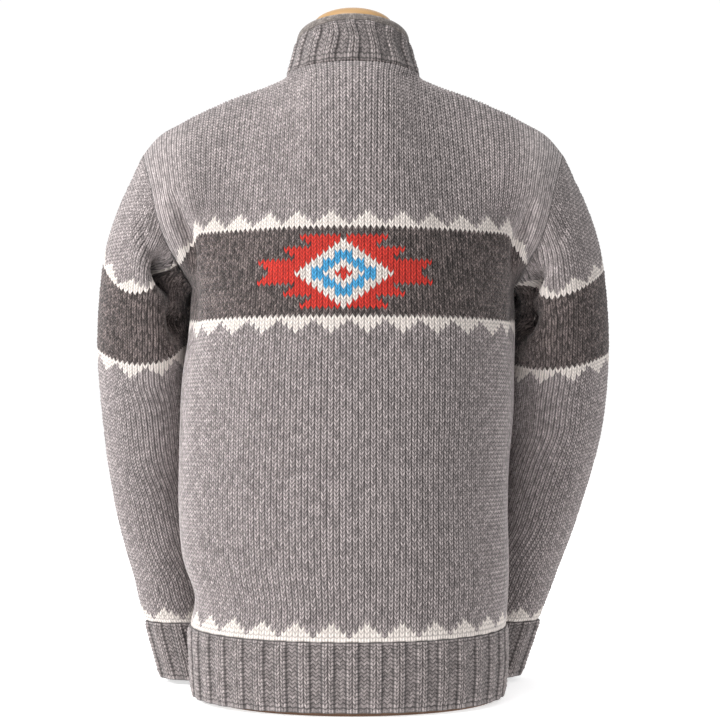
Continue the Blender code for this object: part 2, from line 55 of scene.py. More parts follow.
WALL = 0.0032
SEAM_GAP = 0.00015
RIB_RAISE = 0.0026
HEM_RIBS_A_PANEL = 21
CUFF_RIBS = 10
COLLAR_RIBS = 18
SECTION_ROUNDNESS = 2.2
HEM_BOTTOM = 0.0045
HEM_SEAM_AT_SIDES = 0.078
HEM_SEAM_SAG = 0.004
HEM_SEAM_SAG_REACH = 0.12
WEB_START = 0.375
YOKE_START = 0.430
YOKE_LEVEL = 0.510
SIDEWAYS_REACH = 0.45
UPWARDS_REACH = 0.74
SIDE_SEAM_Y = -0.005
SEAM_LEAN = 0.8
YOKE_NARROWING = 1.2
YOKE_FULLNESS = 1.8
TRUNK = table(
    "height left right back front",
    (0.0045, 0.171, 0.161, 0.142, 0.126),
    (0.040, 0.173, 0.164, 0.144, 0.127),
    (0.075, 0.174, 0.164, 0.144, 0.128),
    (0.108, 0.169, 0.166, 0.144, 0.128),
    (0.150, 0.182, 0.167, 0.146, 0.130),
    (0.200, 0.187, 0.166, 0.147, 0.131),
    (0.260, 0.186, 0.167, 0.146, 0.132),
    (0.300, 0.184, 0.170, 0.145, 0.132),
    (0.345, 0.181, 0.172, 0.144, 0.132),
    (0.390, 0.175, 0.174, 0.142, 0.133),
    (0.430, 0.170, 0.171, 0.140, 0.133),
)
SHOULDER = table(
    "part x y z",
    (0.00, 0.071, 0.000, 0.667),
    (0.05, 0.080, -0.001, 0.663),
    (0.35, 0.130, -0.003, 0.645),
    (0.70, 0.185, -0.005, 0.620),
    (0.88, 0.213, -0.005, 0.603),
    (1.00, 0.229, -0.005, 0.584),
)
NECK_SHARE = 0.376
NECK_BACK = (0.060, 0.673)
NECK_FRONT = (-0.066, 0.640)
ARMHOLE = table(
    "angle x y z",
    (0, 0.229, -0.005, 0.584),
    (30, 0.222, 0.025, 0.566),
    (60, 0.213, 0.047, 0.538),
    (90, 0.206, 0.052, 0.508),
    (120, 0.197, 0.044, 0.482),
    (150, 0.184, 0.022, 0.457),
    (180, 0.174, -0.012, 0.438),
    (210, 0.181, -0.044, 0.453),
    (240, 0.193, -0.062, 0.480),
    (270, 0.200, -0.068, 0.510),
    (300, 0.208, -0.060, 0.541),
    (330, 0.220, -0.036, 0.568),
    (360, 0.229, -0.005, 0.584),
)
ROW_ENDS = table(
    "angle back front",
    (0, 0.673, 0.640),
    (30, 0.620, 0.598),
    (60, 0.577, 0.566),
    (90, 0.548, 0.540),
    (120, 0.520, 0.512),
    (150, 0.482, 0.476),
    (180, 0.430, 0.430),
)
UPPER_SLEEVE = (
    (0, 0.229, 0.584, 0.174, 0.438, -0.008, 0.058, 0.000),
    (1, 0.242, 0.556, 0.182, 0.430, -0.010, 0.060, 0.004),
    (2, 0.254, 0.531, 0.186, 0.421, -0.013, 0.062, 0.008),
    (3, 0.265, 0.502, 0.184, 0.411, -0.018, 0.064, 0.012),
)
LAST_RING = 14
SLEEVE_COLUMNS = "ring outer_x outer_z inner_x inner_z middle_y half_depth dip"
SLEEVE = {
    1: table(
        SLEEVE_COLUMNS,
        *UPPER_SLEEVE,
        (4, 0.273, 0.468, 0.182, 0.398, -0.023, 0.065, 0.016),
        (5, 0.278, 0.430, 0.180, 0.381, -0.030, 0.065, 0.018),
        (6, 0.281, 0.390, 0.180, 0.358, -0.038, 0.064, 0.018),
        (7, 0.281, 0.345, 0.180, 0.328, -0.048, 0.062, 0.016),
        (8, 0.278, 0.297, 0.178, 0.290, -0.062, 0.060, 0.013),
        (9, 0.275, 0.251, 0.180, 0.248, -0.076, 0.057, 0.010),
        (10, 0.269, 0.206, 0.178, 0.205, -0.088, 0.053, 0.008),
        (11, 0.259, 0.161, 0.173, 0.161, -0.095, 0.049, 0.006),
        (12, 0.248, 0.119, 0.166, 0.119, -0.099, 0.045, 0.003),
        (13, 0.241, 0.090, 0.162, 0.090, -0.101, 0.041, 0.001),
        (14, 0.234, 0.070, 0.161, 0.070, -0.102, 0.037, 0.000),
    ),
    -1: table(
        SLEEVE_COLUMNS,
        *UPPER_SLEEVE,
        (4, 0.273, 0.468, 0.180, 0.398, -0.023, 0.065, 0.016),
        (5, 0.278, 0.430, 0.177, 0.381, -0.030, 0.065, 0.018),
        (6, 0.281, 0.390, 0.1745, 0.358, -0.038, 0.064, 0.018),
        (7, 0.281, 0.345, 0.1715, 0.328, -0.048, 0.062, 0.016),
        (8, 0.277, 0.297, 0.1705, 0.290, -0.058, 0.060, 0.013),
        (9, 0.268, 0.251, 0.168, 0.248, -0.068, 0.057, 0.010),
        (10, 0.256, 0.206, 0.162, 0.205, -0.079, 0.053, 0.008),
        (11, 0.242, 0.161, 0.154, 0.161, -0.091, 0.049, 0.006),
        (12, 0.228, 0.119, 0.147, 0.119, -0.102, 0.045, 0.003),
        (13, 0.218, 0.090, 0.141, 0.090, -0.109, 0.041, 0.001),
        (14, 0.211, 0.070, 0.138, 0.070, -0.113, 0.037, 0.000),
    ),
}
ARMHOLE_FADE = 4
CUFF_TOP = 0.070
CUFF_BOTTOM = 0.006
CUFF_END = {1: (0.182, -0.108), -1: (0.155, -0.124)}
CUFF_HALF = 0.036
BODY_FOLDS = (
    (1, 0.452, 0.845, 0.560, 0.880, 0.040, -0.011),
    (-1, 0.452, 0.850, 0.555, 0.895, 0.040, -0.010),
)
SLEEVE_FOLDS = (
    (1, 5.2, 118, 1.2, 26, 0.35, 0.010),
    (1, 1.4, 126, 0.9, 17, 0.30, -0.017),
    (1, 3.6, 152, 0.9, 18, 0.25, -0.014),
    (-1, 4.9, 128, 1.1, 26, 0.30, 0.010),
    (-1, 1.4, 148, 0.8, 15, 0.30, -0.013),
    (-1, 3.6, 154, 0.9, 18, 0.20, -0.020),
)
COLLAR = table(
    "part half_width back front side_z back_z front_z",
    (0.0, 0.0712, 0.0602, -0.0662, 0.6678, 0.6738, 0.6408),
    (0.3, 0.0670, 0.0575, -0.0635, 0.6785, 0.6880, 0.6560),
    (0.7, 0.0630, 0.0540, -0.0595, 0.6925, 0.7060, 0.6740),
    (1.0, 0.0605, 0.0515, -0.0570, 0.7010, 0.7190, 0.6830),
)
FACING_HEIGHT_BACK = 0.007
FACING_HEIGHT_SIDE = 0.010
FACING_PROUD = 0.0012
FACING_LEAN = 0.0012
FACING_WALL = 0.004
print("tables:", len(TRUNK["height"]), "body sections,", len(SLEEVE[1]["ring"]), "sleeve rings")

# %% [markdown]
# Smooth curves through the tables give the garment's surface at any point, so the same few sizes
# serve a coarse solid and a mesh with thousands of stitches. The body is a stack of level sections
# that the armholes draw outwards.


# %% Reading the tables
def read(columns, name, at):
    """A column of a table at any value of the first column, on a smooth curve through its rows."""
    key = next(iter(columns))
    x, y = columns[key], columns[name]
    slope = np.gradient(y, x)
    at = np.clip(at, x[0], x[-1])
    i = np.clip(np.searchsorted(x, at, side="right") - 1, 0, len(x) - 2)
    step = x[i + 1] - x[i]
    t = (at - x[i]) / step
    bend = (t**3 - 2 * t**2 + t) * slope[i] + (t**3 - t**2) * slope[i + 1]
    return y[i] + (3 * t**2 - 2 * t**3) * (y[i + 1] - y[i]) + step * bend


def ease(t):
    """0 to 1 with level ends."""
    t = np.clip(t, 0, 1)
    return t * t * (3 - 2 * t)


def even_quarter(half_width, depth, share):
    """Points of a quarter section at even shares of its length, from its middle to its side."""
    turn = np.linspace(0, np.pi / 2, 129)
    x = half_width * np.sin(turn) ** (2 / SECTION_ROUNDNESS)
    y = depth * np.cos(turn) ** (2 / SECTION_ROUNDNESS)
    run = np.concatenate([[0], np.cumsum(np.hypot(np.diff(x), np.diff(y)))])
    at = share * run[-1]
    return np.interp(at, run, x), np.interp(at, run, y)


def trunk(facing, across, heights):
    """Level sections of the body. across runs from -1 at the right side seam to 1 at the left."""
    grid = np.zeros((len(heights), len(across), 3))
    left = across >= 0
    for i, height in enumerate(heights):
        depth = read(TRUNK, "back" if facing > 0 else "front", height)
        for name, chosen, side in (("left", left, 1), ("right", ~left, -1)):
            x, y = even_quarter(read(TRUNK, name, height), depth, abs(across[chosen]))
            grid[i, chosen, 0] = side * x
            grid[i, chosen, 1] = SIDE_SEAM_Y + facing * y
        grid[i, :, 2] = height
    return grid


print("waist half widths:", read(TRUNK, "left", 0.2), read(TRUNK, "right", 0.2))


# %% The body's surface
def top_edge(facing, across):
    """The shoulder seams and the neckline, where a panel's columns end."""
    side = np.sign(across)
    out = abs(across)
    part = np.clip((out - NECK_SHARE) / (1 - NECK_SHARE), 0, 1)
    seam = [side * read(SHOULDER, "x", part), read(SHOULDER, "y", part), read(SHOULDER, "z", part)]
    points = np.stack(seam, 1)
    depth, height = NECK_BACK if facing > 0 else NECK_FRONT
    corner = SHOULDER["x"][0], SHOULDER["z"][0]
    turn = np.clip(out / NECK_SHARE, 0, 1) * np.pi / 2
    in_neck = out < NECK_SHARE
    points[in_neck, 0] = (side * corner[0] * np.sin(turn))[in_neck]
    points[in_neck, 1] = (depth * np.cos(turn))[in_neck]
    points[in_neck, 2] = (corner[1] + (height - corner[1]) * np.cos(turn))[in_neck]
    return points


def yoke(facing, across, rows):
    """From the armholes' level up over the shoulder blades to the shoulder seams and the neckline."""
    base = trunk(facing, across, [YOKE_START])[0]
    top = top_edge(facing, across)
    last = (NECK_BACK if facing > 0 else NECK_FRONT)[1]
    rows = np.asarray(rows)[:, None]
    stretch = (top[:, 2] - YOKE_LEVEL) / (last - YOKE_LEVEL)
    height = np.minimum(rows, YOKE_LEVEL) + np.maximum(rows - YOKE_LEVEL, 0) * stretch
    rise = np.clip((height - YOKE_START) / (top[:, 2] - YOKE_START), 0, 1)
    x = base[:, 0] + (top[:, 0] - base[:, 0]) * rise**YOKE_NARROWING
    y = top[:, 1] + (base[:, 1] - top[:, 1]) * (1 - rise**YOKE_FULLNESS) ** (1 / YOKE_FULLNESS)
    return np.stack([x, y, height], 2)


def plain_panel(facing, across, rows):
    """A panel before it is drawn out to the armholes."""
    low = rows < YOKE_START
    return np.concatenate([trunk(facing, across, rows[low]), yoke(facing, across, rows[~low])])


def armhole(side, angle):
    angle = np.mod(angle, 360)
    points = np.stack([read(ARMHOLE, name, angle) for name in "xyz"], -1)
    return points * (side, 1, 1)


def row_angle(facing, rows):
    """The angle of the armhole seam at which a panel's rows end."""
    fine = np.linspace(0, 180, 181)
    ends = read(ROW_ENDS, "back" if facing > 0 else "front", fine)
    angle = np.interp(-rows, -ends, fine)
    return angle if facing > 0 else 360 - angle


def fold_depths(across, rows):
    depth = np.zeros((len(rows), len(across)))
    for side, low, low_at, high, high_at, half, deep in BODY_FOLDS:
        up = (rows - low) / (high - low)
        middle = side * (low_at + (high_at - low_at) * up)
        along = np.sin(np.pi * np.clip(up, 0, 1)) ** 0.7
        beside = (across[None] - middle[:, None]) / half
        depth += deep * along[:, None] * np.exp(-(beside**2))
    return depth


def normals(grid, turn, closed=False):
    """Unit normals of a grid of points, the way round that turn gives."""
    up = np.gradient(grid, axis=0)
    if closed:
        along = (np.roll(grid, -1, axis=1) - np.roll(grid, 1, axis=1)) / 2
    else:
        along = np.gradient(grid, axis=1)
    found = np.cross(up, along) * turn
    return found / np.maximum(np.linalg.norm(found, axis=2, keepdims=True), 1e-9)


def panel(facing, across, rows):
    """The outer points of the back (facing 1) or the front (facing -1)."""
    grid = plain_panel(facing, across, rows)
    for side in (1, -1):
        plain_edge = plain_panel(facing, np.array([float(side)]), rows)[:, 0]
        armpit_edge = plain_panel(facing, np.array([float(side)]), np.array([YOKE_START]))[0, 0]
        pull = armhole(side, row_angle(facing, rows)) - plain_edge
        pull[rows < YOKE_START] = armhole(side, 180.0) - armpit_edge
        pull *= ease((rows - WEB_START) / (YOKE_START - WEB_START))[:, None]
        sideways = ease((across * side - SIDEWAYS_REACH) / (1 - SIDEWAYS_REACH))
        upwards = ease((across * side - UPWARDS_REACH) / (1 - UPWARDS_REACH))
        reach = np.stack([sideways, sideways, upwards], 1)
        grid += pull[:, None] * reach[None]
    if facing > 0:
        grid += fold_depths(across, rows)[..., None] * normals(grid, facing)
    return grid


def sag(grid, across):
    """Lets the hem seam sag in the middle of each panel, fading out above it and down to the hem."""
    height = grid[..., 2]
    above = 1 - ease((height - HEM_SEAM_AT_SIDES) / HEM_SEAM_SAG_REACH)
    below = ease(height / HEM_SEAM_AT_SIDES)
    grid[..., 2] -= HEM_SEAM_SAG * np.cos(across * np.pi / 2) * above * below


print("neckline, back:", top_edge(1, np.array([0.0]))[0])


# %% The seams' directions
def flatten(directions, axis):
    """Directions with one axis taken out, so that two pieces share their seam's plane."""
    directions = directions.copy()
    directions[..., axis] = 0
    return directions / np.linalg.norm(directions, axis=-1, keepdims=True)


def seam_direction(side, angle):
    """Which way the cloth's thickness goes at the armhole seam, for the body and the sleeve alike."""
    point = armhole(side, angle)
    middle = armhole(side, np.arange(0.0, 360.0, 15.0)).mean(axis=0)
    inward = middle - point
    inward /= np.linalg.norm(inward, axis=-1, keepdims=True)
    inward = inward + np.array([-SEAM_LEAN * side, 0, 0])
    return -inward / np.linalg.norm(inward, axis=-1, keepdims=True)


def pull_in(grid, edge, gap):
    """Moves one edge of a grid back along the cloth, to leave the gap of a seam."""
    first, second = {"low": (0, 1), "high": (-1, -2)}[edge[0]]
    here, there = (grid[first], grid[second]) if edge[1] == 0 else (grid[:, first], grid[:, second])
    step = there - here
    here += gap * step / np.maximum(np.linalg.norm(step, axis=-1, keepdims=True), 1e-9)


print("armhole seam, back:", armhole(1, 90.0), "thickness along", seam_direction(1, 90.0))

# %% [markdown]
# Cloth that is worn never lies quite smooth. The creases are listed one by one, in sizes of their own:
# soft troughs and ridges, uneven in length, depth and spacing. Those on the hidden front echo the
# ones that show on the back. Each is a long soft bump, leaning one way, and a depth below zero is a
# trough. At each armpit the sleeve is also pressed straight in, where its cloth hangs in a hollow.

# %% Creases
BODY_CREASES = table(
    "facing row across half_row half_across lean depth",
    (1, 0.402, 0.800, 0.055, 0.070, 1.10, -0.0035),
    (1, 0.395, -0.820, 0.050, 0.060, -1.20, -0.0030),
    (1, 0.330, 0.905, 0.080, 0.050, 0.30, 0.0025),
    (1, 0.300, -0.900, 0.070, 0.055, -0.25, 0.0025),
    (1, 0.135, 0.720, 0.030, 0.160, 0.00, 0.0028),
    (1, 0.128, -0.640, 0.026, 0.190, 0.00, 0.0030),
    (1, 0.140, 0.100, 0.032, 0.260, 0.00, 0.0018),
    (1, 0.240, 0.520, 0.090, 0.110, 0.60, -0.0018),
    (1, 0.215, -0.430, 0.080, 0.120, -0.50, -0.0016),
    (1, 0.590, 0.560, 0.045, 0.100, -1.60, -0.0018),
    (1, 0.585, -0.600, 0.040, 0.090, 1.50, -0.0016),
    (-1, 0.420, 0.760, 0.060, 0.065, 1.00, -0.0045),
    (-1, 0.430, -0.740, 0.052, 0.060, -1.10, -0.0040),
    (-1, 0.360, 0.860, 0.085, 0.050, 0.50, 0.0030),
    (-1, 0.340, -0.880, 0.075, 0.055, -0.40, 0.0028),
    (-1, 0.130, 0.560, 0.028, 0.180, 0.00, 0.0028),
    (-1, 0.138, -0.350, 0.030, 0.200, 0.00, 0.0026),
    (-1, 0.520, 0.420, 0.060, 0.080, -1.20, -0.0022),
    (-1, 0.500, -0.460, 0.050, 0.090, 1.30, -0.0020),
    (-1, 0.230, 0.200, 0.085, 0.120, 0.45, -0.0018),
)
SLEEVE_CREASES = table(
    "side ring angle half_ring half_angle lean depth",
    (1, 2.9, 212, 2.00, 28, 0.00, 0.0185),
    (1, 1.5, 130, 0.50, 13, 0.30, -0.0190),
    (1, 1.1, 84, 0.40, 24, 0.10, -0.0045),
    (1, 2.1, 98, 0.60, 24, 0.45, 0.0050),
    (1, 2.9, 112, 0.50, 22, 0.50, 0.0060),
    (1, 3.6, 150, 0.60, 15, 0.30, -0.0100),
    (1, 4.8, 118, 0.55, 42, 0.60, -0.0045),
    (1, 5.8, 92, 0.50, 40, -0.50, -0.0032),
    (1, 6.6, 120, 0.45, 46, 0.40, 0.0030),
    (1, 7.4, 84, 0.60, 52, -0.35, -0.0026),
    (1, 8.7, 112, 0.55, 44, 0.50, 0.0024),
    (1, 9.8, 70, 0.60, 50, -0.40, -0.0026),
    (1, 11.0, 110, 0.50, 55, 0.30, 0.0024),
    (1, 12.1, 80, 0.45, 60, -0.20, -0.0022),
    (1, 3.0, 250, 0.60, 40, -0.50, -0.0045),
    (1, 5.0, 275, 0.55, 46, 0.50, -0.0035),
    (1, 7.0, 260, 0.60, 50, -0.40, 0.0030),
    (1, 9.2, 285, 0.65, 48, 0.40, -0.0032),
    (1, 11.4, 250, 0.50, 55, -0.30, -0.0026),
    (-1, 3.1, 212, 2.10, 28, 0.00, 0.0185),
    (-1, 1.3, 152, 0.50, 16, 0.20, -0.0040),
    (-1, 1.2, 84, 0.40, 24, 0.10, -0.0035),
    (-1, 2.4, 134, 0.70, 24, 0.10, 0.0060),
    (-1, 3.6, 150, 0.80, 24, 0.10, -0.0030),
    (-1, 4.6, 118, 0.55, 36, 0.55, -0.0040),
    (-1, 5.9, 100, 0.55, 42, -0.45, -0.0030),
    (-1, 6.9, 140, 1.60, 16, 0.20, -0.0050),
    (-1, 8.0, 90, 0.55, 50, 0.40, 0.0026),
    (-1, 9.1, 120, 0.60, 44, -0.45, -0.0026),
    (-1, 10.5, 80, 0.55, 52, 0.35, 0.0024),
    (-1, 11.8, 105, 0.50, 56, -0.30, -0.0024),
    (-1, 3.3, 252, 0.60, 38, 0.45, -0.0045),
    (-1, 5.3, 280, 0.55, 44, -0.50, -0.0032),
    (-1, 7.6, 262, 0.65, 50, 0.40, 0.0030),
    (-1, 9.8, 288, 0.60, 46, -0.35, -0.0030),
    (-1, 11.9, 255, 0.50, 55, 0.30, -0.0026),
)
ARMPITS = table(
    "side ring angle half_ring half_angle depth",
    (1, 1.9, 134, 0.50, 12, 0.024),
    (-1, 3.2, 150, 0.80, 14, 0.020),
)
CREASE_FREE_RINGS = (1.2, 1.5)
FOLD_FREE_RINGS = 1.5
NECK_SMOOTHING = 400
NECK_REACH = 0.24
NECK_SOFT_FROM = 0.50
NECK_SOFT_GROWTH = 0.06
NECK_SOFT_END = 0.014
FINE_COLUMNS = 100


def body_creases(facing, across, rows):
    depth = np.zeros((len(rows), len(across)))
    for on, row, at, half_row, half_across, lean, deep in zip(*BODY_CREASES.values()):
        if on == facing:
            up = (rows[:, None] - row) / half_row
            beside = (across[None] - at - lean * (rows[:, None] - row)) / half_across
            depth += deep * np.exp(-(up**2) - beside**2)
    return depth


def sleeve_creases(side, angles, rings):
    depth = np.zeros((len(rings), len(angles)))
    for on, ring, angle, half_ring, half_angle, lean, deep in zip(*SLEEVE_CREASES.values()):
        if on == side:
            beside = (np.mod(angles[None] - angle + 180, 360) - 180) / half_angle
            up = (rings[:, None] - ring) / half_ring + lean * beside
            depth += deep * np.exp(-(up**2) - beside**2)
    top, bottom = CREASE_FREE_RINGS
    return depth * (ease(rings / top) * ease((LAST_RING - rings) / bottom))[:, None]


def soften_neck(grid, facing, across, rows):
    """Rounds the yoke where the columns change from the neckline to the shoulder seam.

    The share is greatest beside the neck and none below the shoulder blades or at the neckline.
    """
    soft = grid.copy()
    for _ in range(NECK_SMOOTHING):
        soft[:, 1:-1] = (soft[:, :-2] + soft[:, 2:]) / 2
    last = (NECK_BACK if facing > 0 else NECK_FRONT)[1]
    share = np.exp(-(((abs(across) - NECK_SHARE) / NECK_REACH) ** 2))[None]
    growth = ease((rows - NECK_SOFT_FROM) / NECK_SOFT_GROWTH)
    share = share * (growth * ease((last - rows) / NECK_SOFT_END))[:, None]
    grid += (soft - grid) * share[..., None]


def worn_panel(facing, across, rows):
    """A panel with all its folds and creases, its sagging hem seam and its normals."""
    grid = panel(facing, across, rows)
    if len(across) > FINE_COLUMNS:
        soften_neck(grid, facing, across, rows)
    grid += body_creases(facing, across, rows)[..., None] * normals(grid, facing)
    sag(grid, across)
    return grid, normals(grid, facing)


print("creases:", len(BODY_CREASES["row"]), "in the body,", len(SLEEVE_CREASES["ring"]), "in the sleeves")


# %% The sleeves' surface
def sleeve_folds(side, angles, rings):
    depth = np.zeros((len(rings), len(angles)))
    for on, ring, angle, half_length, half_width, slant, deep in SLEEVE_FOLDS:
        if on == side:
            up = (rings[:, None] - ring) / half_length
            beside = (np.mod(angles[None] - angle + 180, 360) - 180) / half_width + slant * up
            depth += deep * np.exp(-(up**2) - beside**2)
    return depth * ease(rings / FOLD_FREE_RINGS)[:, None]


def sleeve_rings(side, angles, rings):
    """The outer points of a sleeve. Its first ring is the armhole seam."""
    columns = SLEEVE[side]
    size = {name: read(columns, name, rings)[:, None] for name in columns}
    turn = np.radians(angles)[None]
    middle_x = (size["outer_x"] + size["inner_x"]) / 2
    middle_z = (size["outer_z"] + size["inner_z"]) / 2
    half_x = (size["outer_x"] - size["inner_x"]) / 2
    half_z = (size["outer_z"] - size["inner_z"]) / 2
    x = middle_x + half_x * np.cos(turn)
    y = size["middle_y"] + size["half_depth"] * np.sin(turn)
    z = middle_z + half_z * np.cos(turn) - size["dip"] * np.sin(turn)
    grid = np.stack([x * side, y, z], 2)
    seam = armhole(side, angles) - grid[0]
    fade = 1 - ease(rings / ARMHOLE_FADE)
    grid += seam[None] * fade[:, None, None]
    depth = sleeve_folds(side, angles, rings) + sleeve_creases(side, angles, rings)
    grid += depth[..., None] * normals(grid, side, closed=True)
    for on, ring, angle, half_ring, half_angle, deep in zip(*ARMPITS.values()):
        if on == side:
            beside = (np.mod(angles, 360) - angle) / half_angle
            up = (rings - ring) / half_ring
            grid[..., 1] -= deep * np.exp(-(up[:, None] ** 2) - beside[None] ** 2)
    return grid


print("left cuff end of the sleeve:", sleeve_rings(1, np.array([0.0, 180.0]), np.arange(15.0))[-1])

# %% [markdown]
# Every piece of cloth is a closed shell: a fine outer side that carries the stitches, a plain inner
# side one wall behind it, and a strip of triangles round the edges that joins the two. The mesh is
# written from arrays of points, because no modelling tool makes a surface from a table. Each corner
# gets a place on the knit map, which counts stitches across and rows up.


# %% Shells from grids
def grid_faces(ids, places, turned):
    """Faces over a grid of point numbers. A square that has lost a corner becomes a triangle."""
    corners = [ids[:-1, :-1], ids[:-1, 1:], ids[1:, 1:], ids[1:, :-1]]
    spots = [places[:-1, :-1], places[:-1, 1:], places[1:, 1:], places[1:, :-1]]
    if turned:
        corners, spots = corners[::-1], spots[::-1]
    corners = np.stack(corners, -1).reshape(-1, 4)
    spots = np.stack(spots, 2).reshape(-1, 4, 2)
    lost = corners == np.roll(corners, -1, axis=1)
    whole = lost.sum(1) == 0
    three, three_spots = [], []
    for k in range(4):
        chosen = (lost.sum(1) == 1) & lost[:, k]
        keep = [m for m in range(4) if m != k]
        three.append(corners[chosen][:, keep])
        three_spots.append(spots[chosen][:, keep])
    return corners[whole], spots[whole], np.concatenate(three), np.concatenate(three_spots)


def zip_edges(first, second, at_first, at_second):
    """Triangles between two runs of points, each point given with its place from 0 to 1."""
    faces = []
    i = j = 0
    while i < len(first) - 1 or j < len(second) - 1:
        end = j == len(second) - 1
        if end or (i < len(first) - 1 and at_first[i + 1] <= at_second[j + 1]):
            faces.append((("f", i), ("f", i + 1), ("s", j)))
            i += 1
        else:
            faces.append((("f", i), ("s", j + 1), ("s", j)))
            j += 1
    return faces


def edge_run(ids, places, edge):
    """One edge of a grid, in the order in which the joining strip follows it."""
    run, spots = {
        "low": (ids[0, ::-1], places[0, ::-1]),
        "high": (ids[-1], places[-1]),
        "first": (ids[:, 0], places[:, 0]),
        "last": (ids[::-1, -1], places[::-1, -1]),
    }[edge]
    return run, spots


def shell(name, outer, inner, edges, material):
    """A closed shell. outer and inner are (points, numbers, map places, edge shares by edge)."""
    points = np.concatenate([outer["points"], inner["points"]])
    inner_ids = inner["ids"] + len(outer["points"])
    four, four_at, three, three_at = grid_faces(outer["ids"], outer["map"], False)
    back = grid_faces(inner_ids, inner["map"], True)
    rim, rim_at = [], []
    for edge in edges:
        run, spots = edge_run(outer["ids"], outer["map"], edge)
        far, far_spots = edge_run(inner_ids, inner["map"], edge)
        share, far_share = outer["shares"][edge], inner["shares"][edge]
        if edge in ("low", "last"):
            share, far_share = 1 - share[::-1], 1 - far_share[::-1]
        for face in zip_edges(run, far, share, far_share):
            numbers = [int((run if kind == "f" else far)[k]) for kind, k in face]
            if len(set(numbers)) == 3:
                rim.append(numbers)
                rim_at.append([(spots if kind == "f" else far_spots)[k] for kind, k in face])
    squares = np.concatenate([four, back[0]])
    squares_at = np.concatenate([four_at, back[1]])
    threes = np.concatenate([three, back[2], np.array(rim, int).reshape(-1, 3)])
    threes_at = np.concatenate([three_at, back[3], np.array(rim_at).reshape(-1, 3, 2)])
    return cloth_object(name, points, squares, squares_at, threes, threes_at, material)


def cloth_object(name, points, squares, squares_at, threes, threes_at, material):
    corner = points[np.concatenate([squares[:, :3], squares[:, [0, 2, 3]], threes])]
    if np.einsum("ij,ij->", corner[:, 0], np.cross(corner[:, 1], corner[:, 2])) < 0:
        squares, squares_at = squares[:, ::-1], squares_at[:, ::-1]
        threes, threes_at = threes[:, ::-1], threes_at[:, ::-1]
    mesh = bpy.data.meshes.new(name)
    mesh.vertices.add(len(points))
    mesh.vertices.foreach_set("co", points.astype(np.float32).ravel())
    numbers = np.concatenate([squares.ravel(), threes.ravel()]).astype(np.int32)
    mesh.loops.add(len(numbers))
    mesh.loops.foreach_set("vertex_index", numbers)
    starts = [np.arange(len(squares)) * 4, len(squares) * 4 + np.arange(len(threes)) * 3]
    mesh.polygons.add(len(squares) + len(threes))
    mesh.polygons.foreach_set("loop_start", np.concatenate(starts).astype(np.int32))
    mesh.update(calc_edges=True)
    places = np.concatenate([squares_at.reshape(-1, 2), threes_at.reshape(-1, 2)])
    mesh.uv_layers.new(name="knit").uv.foreach_set("vector", places.astype(np.float32).ravel())
    mesh.materials.append(material)
    mesh.shade_smooth()
    piece = bpy.data.objects.new(name, mesh)
    bpy.context.scene.collection.objects.link(piece)
    triangles = 2 * len(squares) + len(threes)
    sides = corner[:, 1] - corner[:, 0], corner[:, 2] - corner[:, 0]
    area = np.linalg.norm(np.cross(*sides), axis=1).sum() / 2
    made[name] = triangles
    print(f"{name}: {triangles} triangles, {area:.3f} m2 of surface, both sides")
    return piece


def open_side(grid, places):
    """One side of a flat piece, with the shares of its four edges."""
    rows, columns = grid.shape[:2]
    ids = np.arange(rows * columns).reshape(rows, columns)
    across, up = np.linspace(0, 1, columns), np.linspace(0, 1, rows)
    shares = {"low": across, "high": across, "first": up, "last": up}
    return {"points": grid.reshape(-1, 3), "ids": ids, "map": places, "shares": shares}


def tube_side(grid, places):
    """One side of a tube. Its last column of numbers is the first again."""
    rows, columns = grid.shape[:2]
    ids = np.arange(rows * columns).reshape(rows, columns)
    ids = np.concatenate([ids, ids[:, :1]], axis=1)
    across = np.linspace(0, 1, columns + 1)
    shares = {"low": across, "high": across}
    return {"points": grid.reshape(-1, 3), "ids": ids, "map": places, "shares": shares}


def knit_map(across, up):
    """Places on the knit map for a grid: stitches across, rows up."""
    across, up = np.asarray(across, float), np.asarray(up, float)
    return np.stack(np.broadcast_arrays(across[None, :], up[:, None]), -1)


made = {}
print("shell tools ready")

# %% [markdown]
# A knitted stitch shows as a V: two legs that start low in the middle and rise to tips at the
# sides. Four points across a stitch and two lines for each row are enough to raise it. The lines
# themselves are bent into the V, so that the legs, the colour changes and the shading all follow
# real yarn. Each stitch is also a little higher or lower than its neighbours, as hand tension is.

# %% Stitches
STITCH_WIDTH = 0.00595
ROW_HEIGHT = 0.00409
TIP_RISE = (1.15, 0.54, 0.0, 0.54)
LEG_RIDGE = (-0.00135, 0.00085, -0.00030, 0.00085)
LEG_GAP = (-0.00145, 0.00030, -0.00080, 0.00030)
TENSION = 0.00016
RIB_UNIT = 0.0001
RIB_EDGES = (0.17, 0.83)
RIB_SLOPE = 0.15
RIB_RISE = (0.1, 0.45, 0.8, 0.45, 0.3, 0.50, 0.0, 0.50, 1.05, 0.50, 0.0, 0.50, 0.3, 0.45, 0.8, 0.45)
RIB_RIDGE = (-3, 2, 5, 2, -9, 6, -1, 8, -10, 8, -1, 6, -9, 2, 5, 2)
RIB_GAP = (-8, -9, -9, -9, -11, -3, -9, -2, -12, -2, -9, -3, -11, -9, -9, -9)


def uneven_tension(lines, columns, seed):
    """A small height of its own for each stitch."""
    drawn = np.random.default_rng(seed).normal(0, TENSION, (lines // 2 + 2, columns // 4 + 2))
    return np.repeat(np.repeat(drawn, 2, axis=0), 4, axis=1)[:lines, :columns]


def plain_knit(lines, columns, seed):
    """How far each point of a stocking-stitch grid rises along the rows and out of the cloth."""
    phase = np.arange(columns) % 4
    odd = (np.arange(lines) % 2 == 1)[:, None]
    height = np.where(odd, np.array(LEG_RIDGE)[phase], np.array(LEG_GAP)[phase])
    return np.array(TIP_RISE)[phase], height + uneven_tension(lines, columns, seed)


